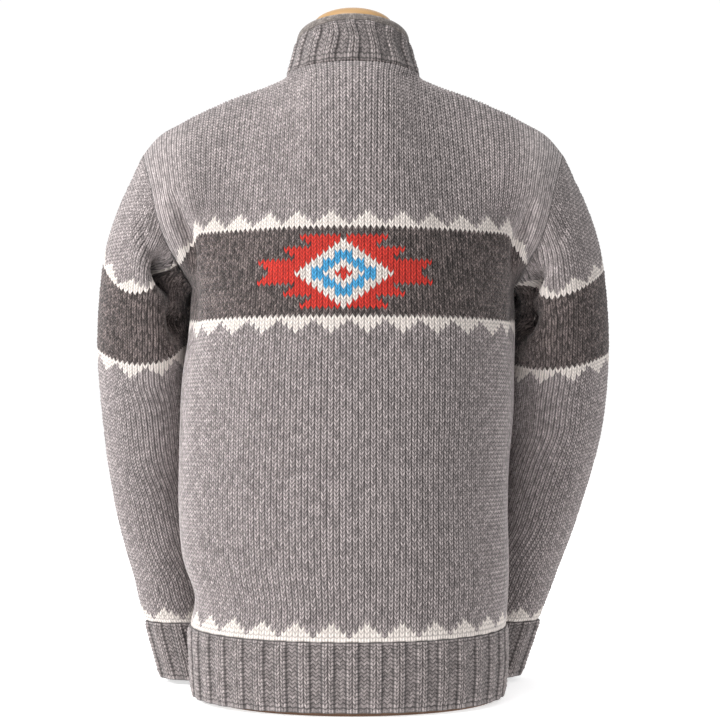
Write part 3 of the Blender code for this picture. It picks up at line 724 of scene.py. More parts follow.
def rib_knit(lines, columns, seed):
    """The same for a rib of two knit and two purl stitches. A rib's knit pair is its raised middle."""
    phase = np.arange(columns) % 16
    odd = (np.arange(lines) % 2 == 1)[:, None]
    height = RIB_UNIT * np.where(odd, np.array(RIB_RIDGE)[phase], np.array(RIB_GAP)[phase])
    share = phase / 16
    ridge = ease((share - RIB_EDGES[0]) / RIB_SLOPE) * ease((RIB_EDGES[1] - share) / RIB_SLOPE)
    return np.array(RIB_RISE)[phase], height + uneven_tension(lines, columns, seed), ridge


def bend_lines(grid, rise, lines):
    """Bends a grid's row lines into Vs by moving each point up by its column's share of a row."""
    line = np.arange(lines)[:, None]
    ends = np.clip(np.minimum(line, lines - 1 - line) / 4, 0, 1)
    at = line + 2 * np.asarray(rise)[None] * ends
    low = np.clip(at.astype(int), 0, lines - 2)
    part = (at - low)[..., None]
    column = np.arange(grid.shape[1])[None]
    return grid[low, column] * (1 - part) + grid[low + 1, column] * part


def edge_fade(count, reach):
    """1 inside a grid, falling to 0 at both its edges over some points."""
    place = np.arange(count)
    return ease(np.minimum(place, count - 1 - place) / reach)


print("a stitch is", STITCH_WIDTH * 1000, "mm wide and", ROW_HEIGHT * 1000, "mm tall")

# %% [markdown]
# The back and the front are knitted from the hem's rib up to the shoulders. A row line follows each
# row of stitches, level round the body, and the rows grow a little taller on the shoulder blades.
# The knit map counts stitches from the middle of the motif, which sits just left of the back's
# middle, and rows from the band of colours, so a chart can be read straight from it. Towards the
# side seams, where the cloth turns away, the stitches are flattened.

# %% Body panels
PANEL_WALES = 84
ROWS_TO_BAND = 100
YOKE_KNIT_ROWS = {1: 45, -1: 36}
FIRST_ROW = -96
STRIPE_LEVEL = 0.487
MOTIF_SHIFT = 2
SEAM_DIP = 0.0003
FLAT_FROM, FLAT_OVER, FLATTENING = 0.70, 0.20, 0.85
INNER_COLUMNS, INNER_LINES = 43, 44


def line_heights(facing):
    """Two lines for each row, measured along the cloth above the upper stripe."""
    level = np.linspace(HEM_SEAM_AT_SIDES, STRIPE_LEVEL, 2 * ROWS_TO_BAND + 1)
    last = (NECK_BACK if facing > 0 else NECK_FRONT)[1]
    fine = np.linspace(STRIPE_LEVEL, last, 500)
    path = panel(facing, np.array([0.2, 0.25, 0.3]), fine)[:, 1]
    run = np.concatenate([[0], np.cumsum(np.linalg.norm(np.diff(path, axis=0), axis=1))])
    count = 2 * YOKE_KNIT_ROWS[facing]
    line = np.arange(1, count + 1)
    growth = (run[-1] - ROW_HEIGHT / 2 * count) / count**2
    return np.concatenate([level, np.interp(ROW_HEIGHT / 2 * line + growth * line**2, run, fine)])


def panel_edges(facing, across, rows, out):
    """Turns the cloth's thickness at a panel's edges so that it meets its neighbours."""
    out[0] = flatten(out[0], 2)
    in_yoke = rows >= YOKE_START
    angle = row_angle(facing, rows[in_yoke])
    for column, side in ((0, -1), (-1, 1)):
        out[~in_yoke, column] = flatten(out[~in_yoke, column], 1)
        out[in_yoke, column] = seam_direction(side, angle)
    on_shoulder = abs(across) >= NECK_SHARE
    on_shoulder[[0, -1]] = False
    out[-1, on_shoulder] = flatten(out[-1, on_shoulder], 1)
    return out


def panel_map(facing, across, lines):
    half = PANEL_WALES / 2
    stitches = MOTIF_SHIFT - half * across if facing > 0 else MOTIF_SHIFT - 2 * half + half * across
    return knit_map(stitches, FIRST_ROW + lines / 2)


def knit_panel(name, facing, material):
    rows = line_heights(facing)
    lines, columns = len(rows), PANEL_WALES * 4 + 1
    across = np.linspace(-1, 1, columns)
    grid, out = worn_panel(facing, across, rows)
    out = panel_edges(facing, across, rows, out)
    rise, height = plain_knit(lines, columns, seed=11 if facing > 0 else 12)
    fade = edge_fade(lines, 3)[:, None] * edge_fade(columns, 4)[None]
    height *= 1 - FLATTENING * ease((abs(across) - FLAT_FROM) / FLAT_OVER)[None]
    grid, out = bend_lines(grid, rise, lines), bend_lines(out, rise, lines)
    grid = grid + (height * fade - SEAM_DIP * (1 - fade))[..., None] * out
    coarse_across = np.linspace(-1, 1, INNER_COLUMNS)
    coarse_lines = np.unique(np.linspace(0, lines - 1, INNER_LINES).round().astype(int))
    inner, inner_out = worn_panel(facing, coarse_across, rows[coarse_lines])
    inner -= WALL * panel_edges(facing, coarse_across, rows[coarse_lines], inner_out)
    for side in (grid, inner):
        for edge in (("low", 0), ("high", 0), ("low", 1), ("high", 1)):
            pull_in(side, edge, SEAM_GAP)
    outer = open_side(grid, panel_map(facing, across, np.arange(lines)))
    back = open_side(inner, panel_map(facing, coarse_across, coarse_lines))
    for edge in ("first", "last"):
        back["shares"][edge] = coarse_lines / (lines - 1)
    return shell(name, outer, back, ("low", "first", "high", "last"), material)


def new_material(name):
    material = bpy.data.materials.new(name)
    material.use_nodes = True
    return material


knit = new_material("grey_knit")
rib = new_material("grey_rib")
tape = new_material("facing_knit")
back = knit_panel("back_cloth", 1, knit)
front = knit_panel("front_cloth", -1, knit)

# %% [markdown]
# A sleeve is knitted as a tube that widens from the cuff. Its wales run parallel to its outer line
# and new ones start along the seam under the arm, and its rows are as long as the sleeve is round
# until the armhole cuts them off. So the grid is ragged: a point beyond the seam is joined to the
# last one before it. The sleeve is first measured along its length, so that rows keep their height.

# %% Sleeves
SLEEVE_ROW = 0.00397
ANGLE_STEP = 3.0
LENGTH_STEP = 0.001
SLEEVE_MAP_MIDDLE = 104.0
SLEEVE_COLUMNS_HALF = 140
SLEEVE_LEVELS = 337
LEAST_GAP = 0.0004
ARM_GAP = 0.001
SIDE_FADE, TOP_FADE, LOW_FADE = 0.8, 1.3, 3
ROW_TILT = {
    1: table(
        "length level swing bow lift",
        (0.00, 0.000, 0.000, 0.000, 0.000),
        (0.16, 0.000, 0.000, 0.002, 0.000),
        (0.31, 0.000, 0.000, 0.0075, 0.002),
        (0.40, 0.002, -0.008, 0.020, 0.042),
        (0.62, 0.002, -0.008, 0.020, 0.042),
    ),
    -1: table(
        "length level swing bow lift",
        (0.00, 0.000, 0.000, 0.000, 0.000),
        (0.16, -0.001, 0.003, 0.001, 0.000),
        (0.31, -0.004, 0.010, 0.003, 0.000),
        (0.40, -0.009, 0.015, 0.006, 0.036),
        (0.62, -0.009, 0.015, 0.006, 0.036),
    ),
}
LIFT_AT, LIFT_HALF = 154, 20


def measured_sleeve(side):
    """The sleeve's surface and normals by length up from the cuff seam and by angle."""
    angles = np.arange(0.0, 360.0, ANGLE_STEP)
    grid = sleeve_rings(side, angles, np.linspace(0, LAST_RING, SLEEVE_LEVELS))
    out = normals(grid, side, closed=True)
    out[0] = seam_direction(side, angles)
    out[-1] = flatten(out[-1], 2)
    grid, out = grid[::-1], out[::-1]
    steps = np.linalg.norm(np.diff(grid, axis=0), axis=2)
    run = np.concatenate([np.zeros((1, len(angles))), np.cumsum(steps, axis=0)])
    lengths = np.arange(0, run[-1].max() + LENGTH_STEP, LENGTH_STEP)
    field = np.empty((len(lengths), len(angles), 6))
    for n in range(len(angles)):
        for axis in range(3):
            field[:, n, axis] = np.interp(lengths, run[:, n], grid[:, n, axis])
            field[:, n, 3 + axis] = np.interp(lengths, run[:, n], out[:, n, axis])
    return field, run[-1]


def on_sleeve(field, length, angle):
    """Points and normals at any lengths and angles, read between the measured ones."""
    i = np.clip(length / LENGTH_STEP, 0, len(field) - 1.001)
    j = np.mod(angle, 360) / ANGLE_STEP
    low, left = i.astype(int), j.astype(int) % field.shape[1]
    right = (left + 1) % field.shape[1]
    up, over = (i - low)[..., None], (j - j.astype(int))[..., None]
    bottom = field[low, left] * (1 - over) + field[low, right] * over
    top = field[low + 1, left] * (1 - over) + field[low + 1, right] * over
    found = bottom * (1 - up) + top * up
    return found[..., :3], found[..., 3:]


def row_tilt(side, length, angle):
    """How far the rows hang above or below level round the sleeve."""
    size = {name: read(ROW_TILT[side], name, length) for name in ("level", "swing", "bow", "lift")}
    turn = np.radians(angle)
    beside = (np.mod(angle, 360) - LIFT_AT) / LIFT_HALF
    tilt = size["level"] + size["swing"] * np.cos(turn) + size["bow"] * np.cos(2 * turn)
    return tilt + size["lift"] * np.exp(-(beside**2))


def column_angles(field, lengths, offsets):
    """The angle of each column at each row line, and how far round the half girths reach."""
    turn = np.arange(0, 180 + ANGLE_STEP, ANGLE_STEP)
    angles = np.zeros((len(lengths), len(offsets)))
    half = np.zeros((len(lengths), 2))
    for way, sign in ((0, -1), (1, 1)):
        ring, _ = on_sleeve(field, lengths[:, None], sign * turn[None])
        run = np.cumsum(np.linalg.norm(np.diff(ring, axis=1), axis=2), axis=1)
        run = np.concatenate([np.zeros((len(lengths), 1)), run], axis=1)
        half[:, way] = run[:, -1]
        chosen = offsets < 0 if sign < 0 else offsets >= 0
        for i in range(len(lengths)):
            angles[i, chosen] = sign * np.interp(abs(offsets[chosen]), run[i], turn)
    return angles, half


print("sleeve lengths:", [measured_sleeve(side)[1].round(3)[[0, 30, 60, 90]] for side in (1, -1)])


# %% Sleeve meshes
def sleeve_side(side, seed):
    """The outer side of a sleeve, stitch by stitch, with its ragged edges gathered on the seams."""
    field, total = measured_sleeve(side)
    lines = int(2 * total.max() / SLEEVE_ROW) + 3
    columns = 2 * SLEEVE_COLUMNS_HALF + 1
    offsets = np.arange(-SLEEVE_COLUMNS_HALF, SLEEVE_COLUMNS_HALF + 1) * STITCH_WIDTH / 4
    line = np.arange(lines)
    angles, half = column_angles(field, line * SLEEVE_ROW / 2, offsets)
    reach = np.where(offsets[None] < 0, half[:, :1], half[:, 1:])
    rise, height = plain_knit(lines, columns, seed)
    bent = line[:, None] / 2 + rise[None] * np.clip(line / 4, 0, 1)[:, None]
    level = line * SLEEVE_ROW / 2
    length = bent * SLEEVE_ROW + row_tilt(side, level[:, None], angles)
    seam_length = level + row_tilt(side, level, 180.0)
    known = np.append(np.arange(0, 360, ANGLE_STEP), 360)
    ends = np.interp(np.mod(angles, 360), known, np.append(total, total[0]))
    under = total[int(180 / ANGLE_STEP)]
    # Which points of the grid lie on the sleeve, and how far up the seam under the arm goes.
    beyond_side = abs(offsets)[None] >= reach - LEAST_GAP
    inside = ~beyond_side & (length < ends - LEAST_GAP)
    below_arm = seam_length <= under - ARM_GAP
    # Numbers for the points inside, along the seam, where the seam meets the armhole, and round it.
    numbers = np.full((lines, columns), -1)
    numbers[inside] = np.arange(inside.sum())
    count = inside.sum()
    where = [(length[inside], angles[inside])]
    seam_ids = count + np.arange(below_arm.sum())
    where.append((seam_length[below_arm], np.full(below_arm.sum(), 180.0)))
    count += below_arm.sum()
    arm_id = count
    where.append((np.array([under]), np.array([180.0])))
    count += 1
    last = np.where(inside.any(0), lines - 1 - inside[::-1].argmax(0), -1)
    top_ids = np.full(columns, arm_id)
    has = last >= 0
    top_ids[has] = count + np.arange(has.sum())
    at_top = last[has], np.flatnonzero(has)
    top_angle, top_end = angles[at_top], ends[at_top]
    where.append((top_end, top_angle))
    # Every other place in the grid takes the number of the seam point or armhole point next to it.
    arm_row = np.interp(under, seam_length, line / 2)
    top_row = np.full(columns, arm_row)
    top_row[has] = last[has] / 2 + (top_end - length[at_top]) / SLEEVE_ROW
    map_across = np.where(beyond_side, np.sign(offsets)[None] * reach, offsets[None]) / STITCH_WIDTH
    map_up = np.broadcast_to(line[:, None] / 2, numbers.shape).copy()
    for j in range(columns):
        for i in np.flatnonzero(numbers[:, j] < 0):
            if below_arm[i] and (beyond_side[i, j] or not has[j]):
                numbers[i, j] = seam_ids[i]
            else:
                numbers[i, j] = top_ids[j]
                map_up[i, j] = top_row[j]
    points, out = on_sleeve(field, *[np.concatenate(part) for part in zip(*where)])
    # The stitches sink towards the seams.
    raised = np.full(len(points), -SEAM_DIP)
    side_room = (reach - abs(offsets)[None]) / (SIDE_FADE * STITCH_WIDTH)
    top_room = (ends - length) / (TOP_FADE * SLEEVE_ROW)
    fade = ease(np.minimum(np.minimum(side_room, top_room), line[:, None] / LOW_FADE))
    raised[: inside.sum()] = (height * fade - SEAM_DIP * (1 - fade))[inside]
    points = points + raised[:, None] * out
    places = np.stack([SLEEVE_MAP_MIDDLE + map_across, FIRST_ROW + map_up], -1)
    # The joining strips need to know where round the sleeve each edge point is.
    used = np.unique(numbers)
    low_angle = np.where(beyond_side[0], np.sign(offsets) * 180, angles[0])
    high_angle = np.where(offsets < 0, -180.0, 180.0)
    high_angle[has] = top_angle
    high_share = np.maximum.accumulate((180 + high_angle) / 360)
    shares = {"low": (180 + low_angle) / 360, "high": high_share}
    print("points in use:", len(used), "of", len(points))
    renumber = np.zeros(len(points), int)
    renumber[used] = np.arange(len(used))
    return {"points": points[used], "ids": renumber[numbers], "map": places, "shares": shares}


def sleeve_lining(side):
    """The plain inner side, one wall behind the outer one."""
    field, total = measured_sleeve(side)
    angles = np.arange(-180.0, 180.0, 9.0)
    ends = total[np.round(np.mod(angles, 360) / ANGLE_STEP).astype(int) % len(total)]
    parts = np.linspace(0, 1, 40)[:, None]
    points, out = on_sleeve(field, parts * ends[None], np.broadcast_to(angles, (40, 40)))
    out[-1] = seam_direction(side, angles)
    grid = points - WALL * out
    for edge in (("low", 0), ("high", 0)):
        pull_in(grid, edge, SEAM_GAP)
    places = knit_map(SLEEVE_MAP_MIDDLE + np.linspace(-25, 25, 41), FIRST_ROW + 120 * parts[:, 0])
    return tube_side(grid, places)


def knit_sleeve(name, side, seed, material):
    return shell(name, sleeve_side(side, seed), sleeve_lining(side), ("low", "high"), material)


sleeve_left = knit_sleeve("sleeve_left_cloth", 1, 21, knit)
sleeve_right = knit_sleeve("sleeve_right_cloth", -1, 22, knit)

# %% [markdown]
# Hem, cuffs and collar are knitted in two by two rib: pairs of knit wales stand out as ribs and the
# purl pairs between them sink into troughs with fine level waves. The ribs are raised in the outer
# side only, over the same number of ribs as the solids have.

# %% Ribbed hem
HEM_ROWS = 18
INNER_STEP = 9
RIB_FULL_BETWEEN = (0, 0.10, 0.90, 1)
RIB_ENDS = (0.6, 0.5)


def rib_shell(name, grid, out, ridge_ends, seed, places, inner, closed, material):
    """A ribbed band: ribs, then stitches, raised from a fine grid whose columns follow the ribs."""
    lines, columns = grid.shape[:2]
    rise, height, ridge = rib_knit(lines, columns, seed)
    first, last = ridge_ends
    along = np.interp(np.linspace(0, 1, lines), RIB_FULL_BETWEEN, (first, 1, 1, last))
    fade = edge_fade(lines, 2)[:, None]
    grid, out = bend_lines(grid, rise, lines), bend_lines(out, rise, lines)
    raised = RIB_RAISE * ridge[None] * along[:, None] + height * fade - SEAM_DIP * (1 - fade) / 2
    grid = grid + raised[..., None] * out
    if closed:
        sides = tube_side(grid, places[0]), tube_side(inner, places[1])
        return shell(name, *sides, ("low", "high"), material)
    for side in (grid, inner):
        pull_in(side, ("low", 1), SEAM_GAP)
        pull_in(side, ("high", 1), SEAM_GAP)
    sides = open_side(grid, places[0]), open_side(inner, places[1])
    return shell(name, *sides, ("low", "first", "high", "last"), material)


def hem_surface(facing, across, heights):
    grid, _ = worn_panel(facing, across, heights)
    plain = panel(facing, across, heights)
    out = flatten(normals(plain, facing), 2)
    for column in (0, -1):
        out[:, column] = flatten(out[:, column], 1)
    return grid, out


def knit_hem(name, facing, seed, material):
    columns = HEM_RIBS_A_PANEL * 16 + 1
    across = np.linspace(-1, 1, columns)
    heights = np.linspace(HEM_BOTTOM, HEM_SEAM_AT_SIDES - SEAM_GAP, 2 * HEM_ROWS + 1)
    grid, out = hem_surface(facing, across, heights)
    coarse = np.linspace(-1, 1, INNER_COLUMNS)
    inner, inner_out = hem_surface(facing, coarse, heights[::INNER_STEP])
    inner = inner - WALL * inner_out
    line = np.arange(2 * HEM_ROWS + 1) - 2 * HEM_ROWS
    places = panel_map(facing, across, line), panel_map(facing, coarse, line[::INNER_STEP])
    print(name, "starts at map row", FIRST_ROW - HEM_ROWS)
    return rib_shell(name, grid, out, RIB_ENDS, seed, places, inner, False, material)


hem_back = knit_hem("hem_rib_back_cloth", 1, 31, rib)
hem_front = knit_hem("hem_rib_front_cloth", -1, 32, rib)

# %% Ribbed cuffs
CUFF_ROWS = 15


def cuff_surface(side, turn, parts):
    top = {column: SLEEVE[side][column][-1] for column in SLEEVE[side]}
    top_x, top_y = (top["outer_x"] + top["inner_x"]) / 2, top["middle_y"]
    end_x, end_y = CUFF_END[side]
    rings = []
    for part in parts:
        x = top_x + (end_x - top_x) * part
        y = top_y + (end_y - top_y) * part
        half = top["half_depth"] + (CUFF_HALF - top["half_depth"]) * ease(part)
        z = np.full(len(turn), CUFF_TOP - SEAM_GAP + (CUFF_BOTTOM - CUFF_TOP) * part)
        rings.append(np.stack([x + half * np.cos(turn), y + half * np.sin(turn), z], 1))
    grid = np.array(rings)[::-1] * (side, 1, 1)
    return grid, flatten(normals(grid, -side, closed=True), 2)


def knit_cuff(name, side, seed, material):
    turn = np.linspace(0, 2 * np.pi, CUFF_RIBS * 16, endpoint=False)
    parts = np.linspace(0, 1, 2 * CUFF_ROWS + 1)
    grid, out = cuff_surface(side, turn, parts)
    wales = 4 * CUFF_RIBS
    coarse, levels = np.linspace(0, 2 * np.pi, wales, endpoint=False), parts[::6]
    inner, inner_out = cuff_surface(side, coarse, levels)
    inner = inner - WALL * inner_out
    left, low = SLEEVE_MAP_MIDDLE, FIRST_ROW - CUFF_ROWS
    places = (
        knit_map(left + np.linspace(0, wales, len(turn) + 1), low + CUFF_ROWS * parts),
        knit_map(left + np.linspace(0, wales, wales + 1), low + CUFF_ROWS * levels),
    )
    return rib_shell(name, grid, out, RIB_ENDS, seed, places, inner, True, material)


cuff_left = knit_cuff("cuff_left_cloth", 1, 41, rib)
cuff_right = knit_cuff("cuff_right_cloth", -1, 42, rib)

# %% [markdown]
# The collar stands up from the neckline. Its ribs don't rise quite straight: they sway a little to
# and fro, more towards the top, as a soft collar does when it is worn.

# %% Ribbed collar
COLLAR_ROWS = 10
COLLAR_SWAY = 0.055
COLLAR_WALES = 4 * COLLAR_RIBS
COLLAR_MAP_ROW = 60.5


def collar_ring(part, turn):
    """A ring of the collar. turn is 0 at the wearer's left and 90 degrees at the back."""
    behind = np.sin(turn) >= 0
    depth = np.where(behind, read(COLLAR, "back", part), -read(COLLAR, "front", part))
    back_lift = read(COLLAR, "back_z", part) - read(COLLAR, "side_z", part)
    front_lift = read(COLLAR, "front_z", part) - read(COLLAR, "side_z", part)
    x = read(COLLAR, "half_width", part) * np.cos(turn)
    y = depth * np.sin(turn)
    z = read(COLLAR, "side_z", part) + np.where(behind, back_lift, front_lift) * abs(np.sin(turn))
    return np.stack([x, y, z], -1)


def collar_surface(turn, parts):
    sway = [COLLAR_SWAY * np.sin(3 * turn + 5 * part + 1) * part for part in parts]
    grid = np.array([collar_ring(part, turn + lean) for part, lean in zip(parts, sway)])
    return grid, flatten(normals(grid, -1, closed=True), 2)


turn = np.linspace(0, 2 * np.pi, COLLAR_RIBS * 16, endpoint=False)
parts = np.linspace(0, 1, 2 * COLLAR_ROWS + 1)
grid, out = collar_surface(turn, parts)
coarse_turn = np.linspace(0, 2 * np.pi, COLLAR_WALES, endpoint=False)
inner, inner_out = collar_surface(coarse_turn, parts[::4])
inner = inner - WALL * inner_out
collar_places = (
    knit_map(np.linspace(0, COLLAR_WALES, len(turn) + 1), COLLAR_MAP_ROW + COLLAR_ROWS * parts),
    knit_map(np.arange(COLLAR_WALES + 1), COLLAR_MAP_ROW + COLLAR_ROWS * parts[::4]),
)
collar = rib_shell("collar_cloth", grid, out, (0.5, 0.6), 51, collar_places, inner, True, rib)

# %% Collar facing
FACING_COLUMNS = 144
FACING_RINGS = ((0.0, 0.1), (0.12, 0.8), (0.3, 1.1), (0.5, 1.2), (0.7, 1.1), (0.88, 0.75), (1.0, 0.1))


def facing_surface(turn, wall):
    low = collar_ring(1.0, turn)
    low[:, 2] += SEAM_GAP
    towards_back = np.clip(np.sin(turn), 0, 1)
    height = FACING_HEIGHT_SIDE + (FACING_HEIGHT_BACK - FACING_HEIGHT_SIDE) * towards_back
    rings = []
    for part, proud in FACING_RINGS:
        ring = low.copy()
        ring[:, 2] += height * part
        ring[:, :2] *= 1 + (FACING_PROUD * proud - FACING_LEAN * part) / COLLAR["half_width"][-1]
        rings.append(ring)
    grid = np.array(rings)
    return grid - wall * flatten(normals(grid, -1, closed=True), 2)


turn = np.linspace(0, 2 * np.pi, FACING_COLUMNS, endpoint=False)
shares = [part for part, _ in FACING_RINGS]
facing_places = knit_map(np.linspace(0, 100, FACING_COLUMNS + 1), 80 + 3 * np.array(shares))
facing_sides = [tube_side(facing_surface(turn, wall), facing_places) for wall in (0, FACING_WALL)]
facing = shell("collar_facing_cloth", *facing_sides, ("low", "high"), tape)

# %% [markdown]
# The dress form is a smooth padded torso that shows only at the neck and below the hem. Its sections
# are unlike each other, so it is lofted through them. The cap on its neck is turned wood and the
# base a thin board: both are made with modelling tools, from a circle that is extruded and shaped.

# %% Dress form
FORM = table(
    "height half_width half_depth roundness",
    (0.0063, 0.150, 0.126, 2.2),
    (0.060, 0.151, 0.127, 2.2),
    (0.160, 0.150, 0.125, 2.2),
    (0.280, 0.147, 0.122, 2.2),
    (0.380, 0.152, 0.125, 2.2),
    (0.450, 0.155, 0.122, 2.1),
    (0.510, 0.158, 0.112, 1.9),
    (0.555, 0.162, 0.098, 1.7),
    (0.585, 0.158, 0.085, 1.6),
    (0.608, 0.138, 0.073, 1.6),
    (0.628, 0.106, 0.062, 1.7),
    (0.645, 0.074, 0.053, 1.9),
    (0.662, 0.055, 0.046, 2.0),
    (0.690, 0.046, 0.041, 2.0),
)
FORM_MIDDLE_Y = 0.0035
FORM_CHEST, FORM_SHOULDERS = 0.50, 0.51


def oval(half_width, half_depth, roundness, height, count):
    turn = np.linspace(0, 2 * np.pi, count, endpoint=False)
    x = half_width * np.sign(np.cos(turn)) * abs(np.cos(turn)) ** (2 / roundness)
    y = half_depth * np.sign(np.sin(turn)) * abs(np.sin(turn)) ** (2 / roundness)
    return np.stack([x, FORM_MIDDLE_Y + y, np.full(count, height)], 1)


def lofted_form(name, material, count=96):
    low, high = FORM["height"][[0, -1]]
    below, above = np.linspace(low, FORM_CHEST, 20), np.linspace(FORM_SHOULDERS, high, 34)
    heights = np.concatenate([below, above])
    rings = []
    for height in heights:
        sizes = [read(FORM, column, height) for column in ("half_width", "half_depth", "roundness")]
        rings.append(oval(*sizes, height, count))
    points = np.array(rings).reshape(-1, 3)
    ids = np.arange(len(points)).reshape(len(heights), count)
    ids = np.concatenate([ids, ids[:, :1]], axis=1)
    places = knit_map(np.linspace(0, 1, count + 1), heights)
    squares, spots, threes, three_spots = grid_faces(ids, places, False)
    middles = np.array([[0, FORM_MIDDLE_Y, heights[0]], [0, FORM_MIDDLE_Y, heights[-1]]])
    for ring, centre, order in ((ids[0], len(points), -1), (ids[-1], len(points) + 1, 1)):
        fan = np.stack([ring[:-1], ring[1:], np.full(count, centre)], 1)[:, ::order]
        threes = np.concatenate([threes, fan])
        three_spots = np.concatenate([three_spots, np.zeros((count, 3, 2))])
    points = np.concatenate([points, middles])
    return cloth_object(name, points, squares, spots, threes, three_spots, material)


cover = new_material("form_cover")
form = lofted_form("form_cloth", cover)

# %% Cap and base
CAP_BOTTOM, CAP_RIM_TOP, CAP_TOP = 0.6903, 0.722, 0.742
DOME_STEP = 6
CAP_HALF = (0.044, 0.039)
BASE_HALF = (0.153, 0.126)
BASE_HEIGHT = 0.006


def turned(name, half, levels, material):
    """A solid raised from an oval. levels are (height, share of the oval) pairs, from the bottom."""
    bpy.ops.object.select_all(action="DESELECT")
    bpy.ops.mesh.primitive_circle_add(vertices=96, radius=1, fill_type="NGON", location=(0, 0, 0))
    piece = bpy.context.object
    piece.name = name
    bpy.ops.object.mode_set(mode="EDIT")
    bpy.ops.mesh.select_all(action="SELECT")
    centre = (0, FORM_MIDDLE_Y, 0)
    height, size = levels[0]
    bpy.ops.transform.resize(value=(half[0], half[1], 1), center_override=(0, 0, 0))
    bpy.ops.transform.translate(value=(0, FORM_MIDDLE_Y, height))
    bpy.ops.transform.resize(value=(size, size, 1), center_override=centre)
    for level, share in levels[1:]:
        bpy.ops.mesh.extrude_region_move(TRANSFORM_OT_translate={"value": (0, 0, level - height)})
        bpy.ops.transform.resize(value=(share / size, share / size, 1), center_override=centre)
        height, size = level, share
    bpy.ops.mesh.select_all(action="SELECT")
    bpy.ops.mesh.normals_make_consistent(inside=False)
    bpy.ops.object.mode_set(mode="OBJECT")
    piece.data.materials.append(material)
    bpy.ops.object.shade_smooth_by_angle(angle=np.radians(35))
    print(name, "has", len(piece.data.polygons), "faces")
    return piece


cap_wood = new_material("cap_wood")
base_wood = new_material("base_wood")
dome = [(CAP_BOTTOM, 0.985), (CAP_BOTTOM + 0.001, 1.0), (CAP_RIM_TOP, 1.0)]
for lean in range(DOME_STEP, 90, DOME_STEP):
    share = np.cos(np.radians(lean))
    dome.append((CAP_RIM_TOP + (CAP_TOP - CAP_RIM_TOP) * np.sin(np.radians(lean)), share))
cap = turned("form_cap_wood", CAP_HALF, dome, cap_wood)
board = [(0, 0.990), (0.0006, 0.996), (0.0016, 1.0), (BASE_HEIGHT - 0.001, 1.0), (BASE_HEIGHT, 0.994)]
base = turned("form_base_board", BASE_HALF, board, base_wood)

# %% [markdown]
# Every finish is built from small shader helpers. A number inside a shader is wrapped, so that sums
# of nodes can be written like plain sums. A comparison gives a mask of ones and noughts: masks are
# multiplied where all of them count, and joined by a bar where one is enough.


# %% Shader helpers
class Value:
    """A number or a colour in a shader. Each sign between two of them becomes a math node."""

    def __init__(self, socket):
        self.socket = socket

    def __add__(self, other):
        return calc("ADD", self, other)

    def __sub__(self, other):
        return calc("SUBTRACT", self, other)

    def __rsub__(self, other):
        return calc("SUBTRACT", other, self)

    def __mul__(self, other):
        return calc("MULTIPLY", self, other)

    def __truediv__(self, other):
        return calc("DIVIDE", self, other)

    def __mod__(self, other):
        return calc("FLOORED_MODULO", self, other)

    def __pow__(self, other):
        return calc("POWER", self, other)

    def __lt__(self, other):
        return calc("LESS_THAN", self, other)

    def __gt__(self, other):
        return calc("GREATER_THAN", self, other)

    def __or__(self, other):
        return calc("MAXIMUM", self, other)

    def __abs__(self):
        return calc("ABSOLUTE", self)


def fill(node, inputs):
    """Links a node's inputs to wrapped values and sets the others to plain ones."""
    for key, value in inputs.items():
        if isinstance(value, Value):
            node.id_data.links.new(value.socket, node.inputs[key])
        else:
            node.inputs[key].default_value = value


def add(tree, kind, inputs, output=0, **settings):
    """A new node with its inputs and settings. The answer is one of its outputs."""
    node = tree.nodes.new(kind)
    for key, value in settings.items():
        setattr(node, key, value)
    fill(node, inputs)
    return Value(node.outputs[output])


def tree_of(*values):
    """The node tree of the first wrapped value."""
    return next(value.socket.id_data for value in values if isinstance(value, Value))


def calc(operation, *values):
    inputs = dict(enumerate(values))
    return add(tree_of(*values), "ShaderNodeMath", inputs, operation=operation)


def blend(mask, first, second):
    """A mix of two colours."""
    inputs = {0: mask, 6: first, 7: second}
    return add(tree_of(mask), "ShaderNodeMix", inputs, output=2, data_type="RGBA")


def fade_in(value, start, end):
    """0 to 1 as a value goes from start to end, smoothly."""
    inputs = {0: value, 1: start, 2: end, 3: 0.0, 4: 1.0}
    return add(tree_of(value), "ShaderNodeMapRange", inputs, interpolation_type="SMOOTHSTEP")


def vector(x, y):
    return add(tree_of(x, y), "ShaderNodeCombineXYZ", {0: x, 1: y})


def coordinate(place, axis):
    """One of a place's three numbers, counted from 0."""
    return add(tree_of(place), "ShaderNodeSeparateXYZ", {0: place}, output=axis)


def noise(place, scale, detail, roughness=0.5, distortion=0.0):
    inputs = {"Vector": place, "Scale": scale, "Detail": detail}
    inputs.update({"Roughness": roughness, "Distortion": distortion})
    return add(tree_of(place), "ShaderNodeTexNoise", inputs)


def bump(height, strength, distance):
    inputs = {"Height": height, "Strength": strength, "Distance": distance}
    return add(tree_of(height), "ShaderNodeBump", inputs)


def object_place(tree):
    return add(tree, "ShaderNodeTexCoord", {}, output="Object")


def open_material(material):
    tree = material.node_tree
    return tree, tree.nodes["Principled BSDF"]


def new_group(name, outputs):
    """A node group that reads the knit map. The answer ends with the stitch across and the row up."""
    tree = bpy.data.node_groups.new(name, "ShaderNodeTree")
    for output, kind in outputs:
        tree.interface.new_socket(output, in_out="OUTPUT", socket_type="NodeSocket" + kind)
    end = tree.nodes.new("NodeGroupOutput")
    place = add(tree, "ShaderNodeUVMap", {}, uv_map="knit")
    return tree, end, coordinate(place, 0), coordinate(place, 1)


def group_values(tree, group):
    """The outputs of a group that is used in a material, by name."""
    node = tree.nodes.new("ShaderNodeGroup")
    node.node_tree = group
    return {socket.name: Value(socket) for socket in node.outputs}


print("shader helpers ready")

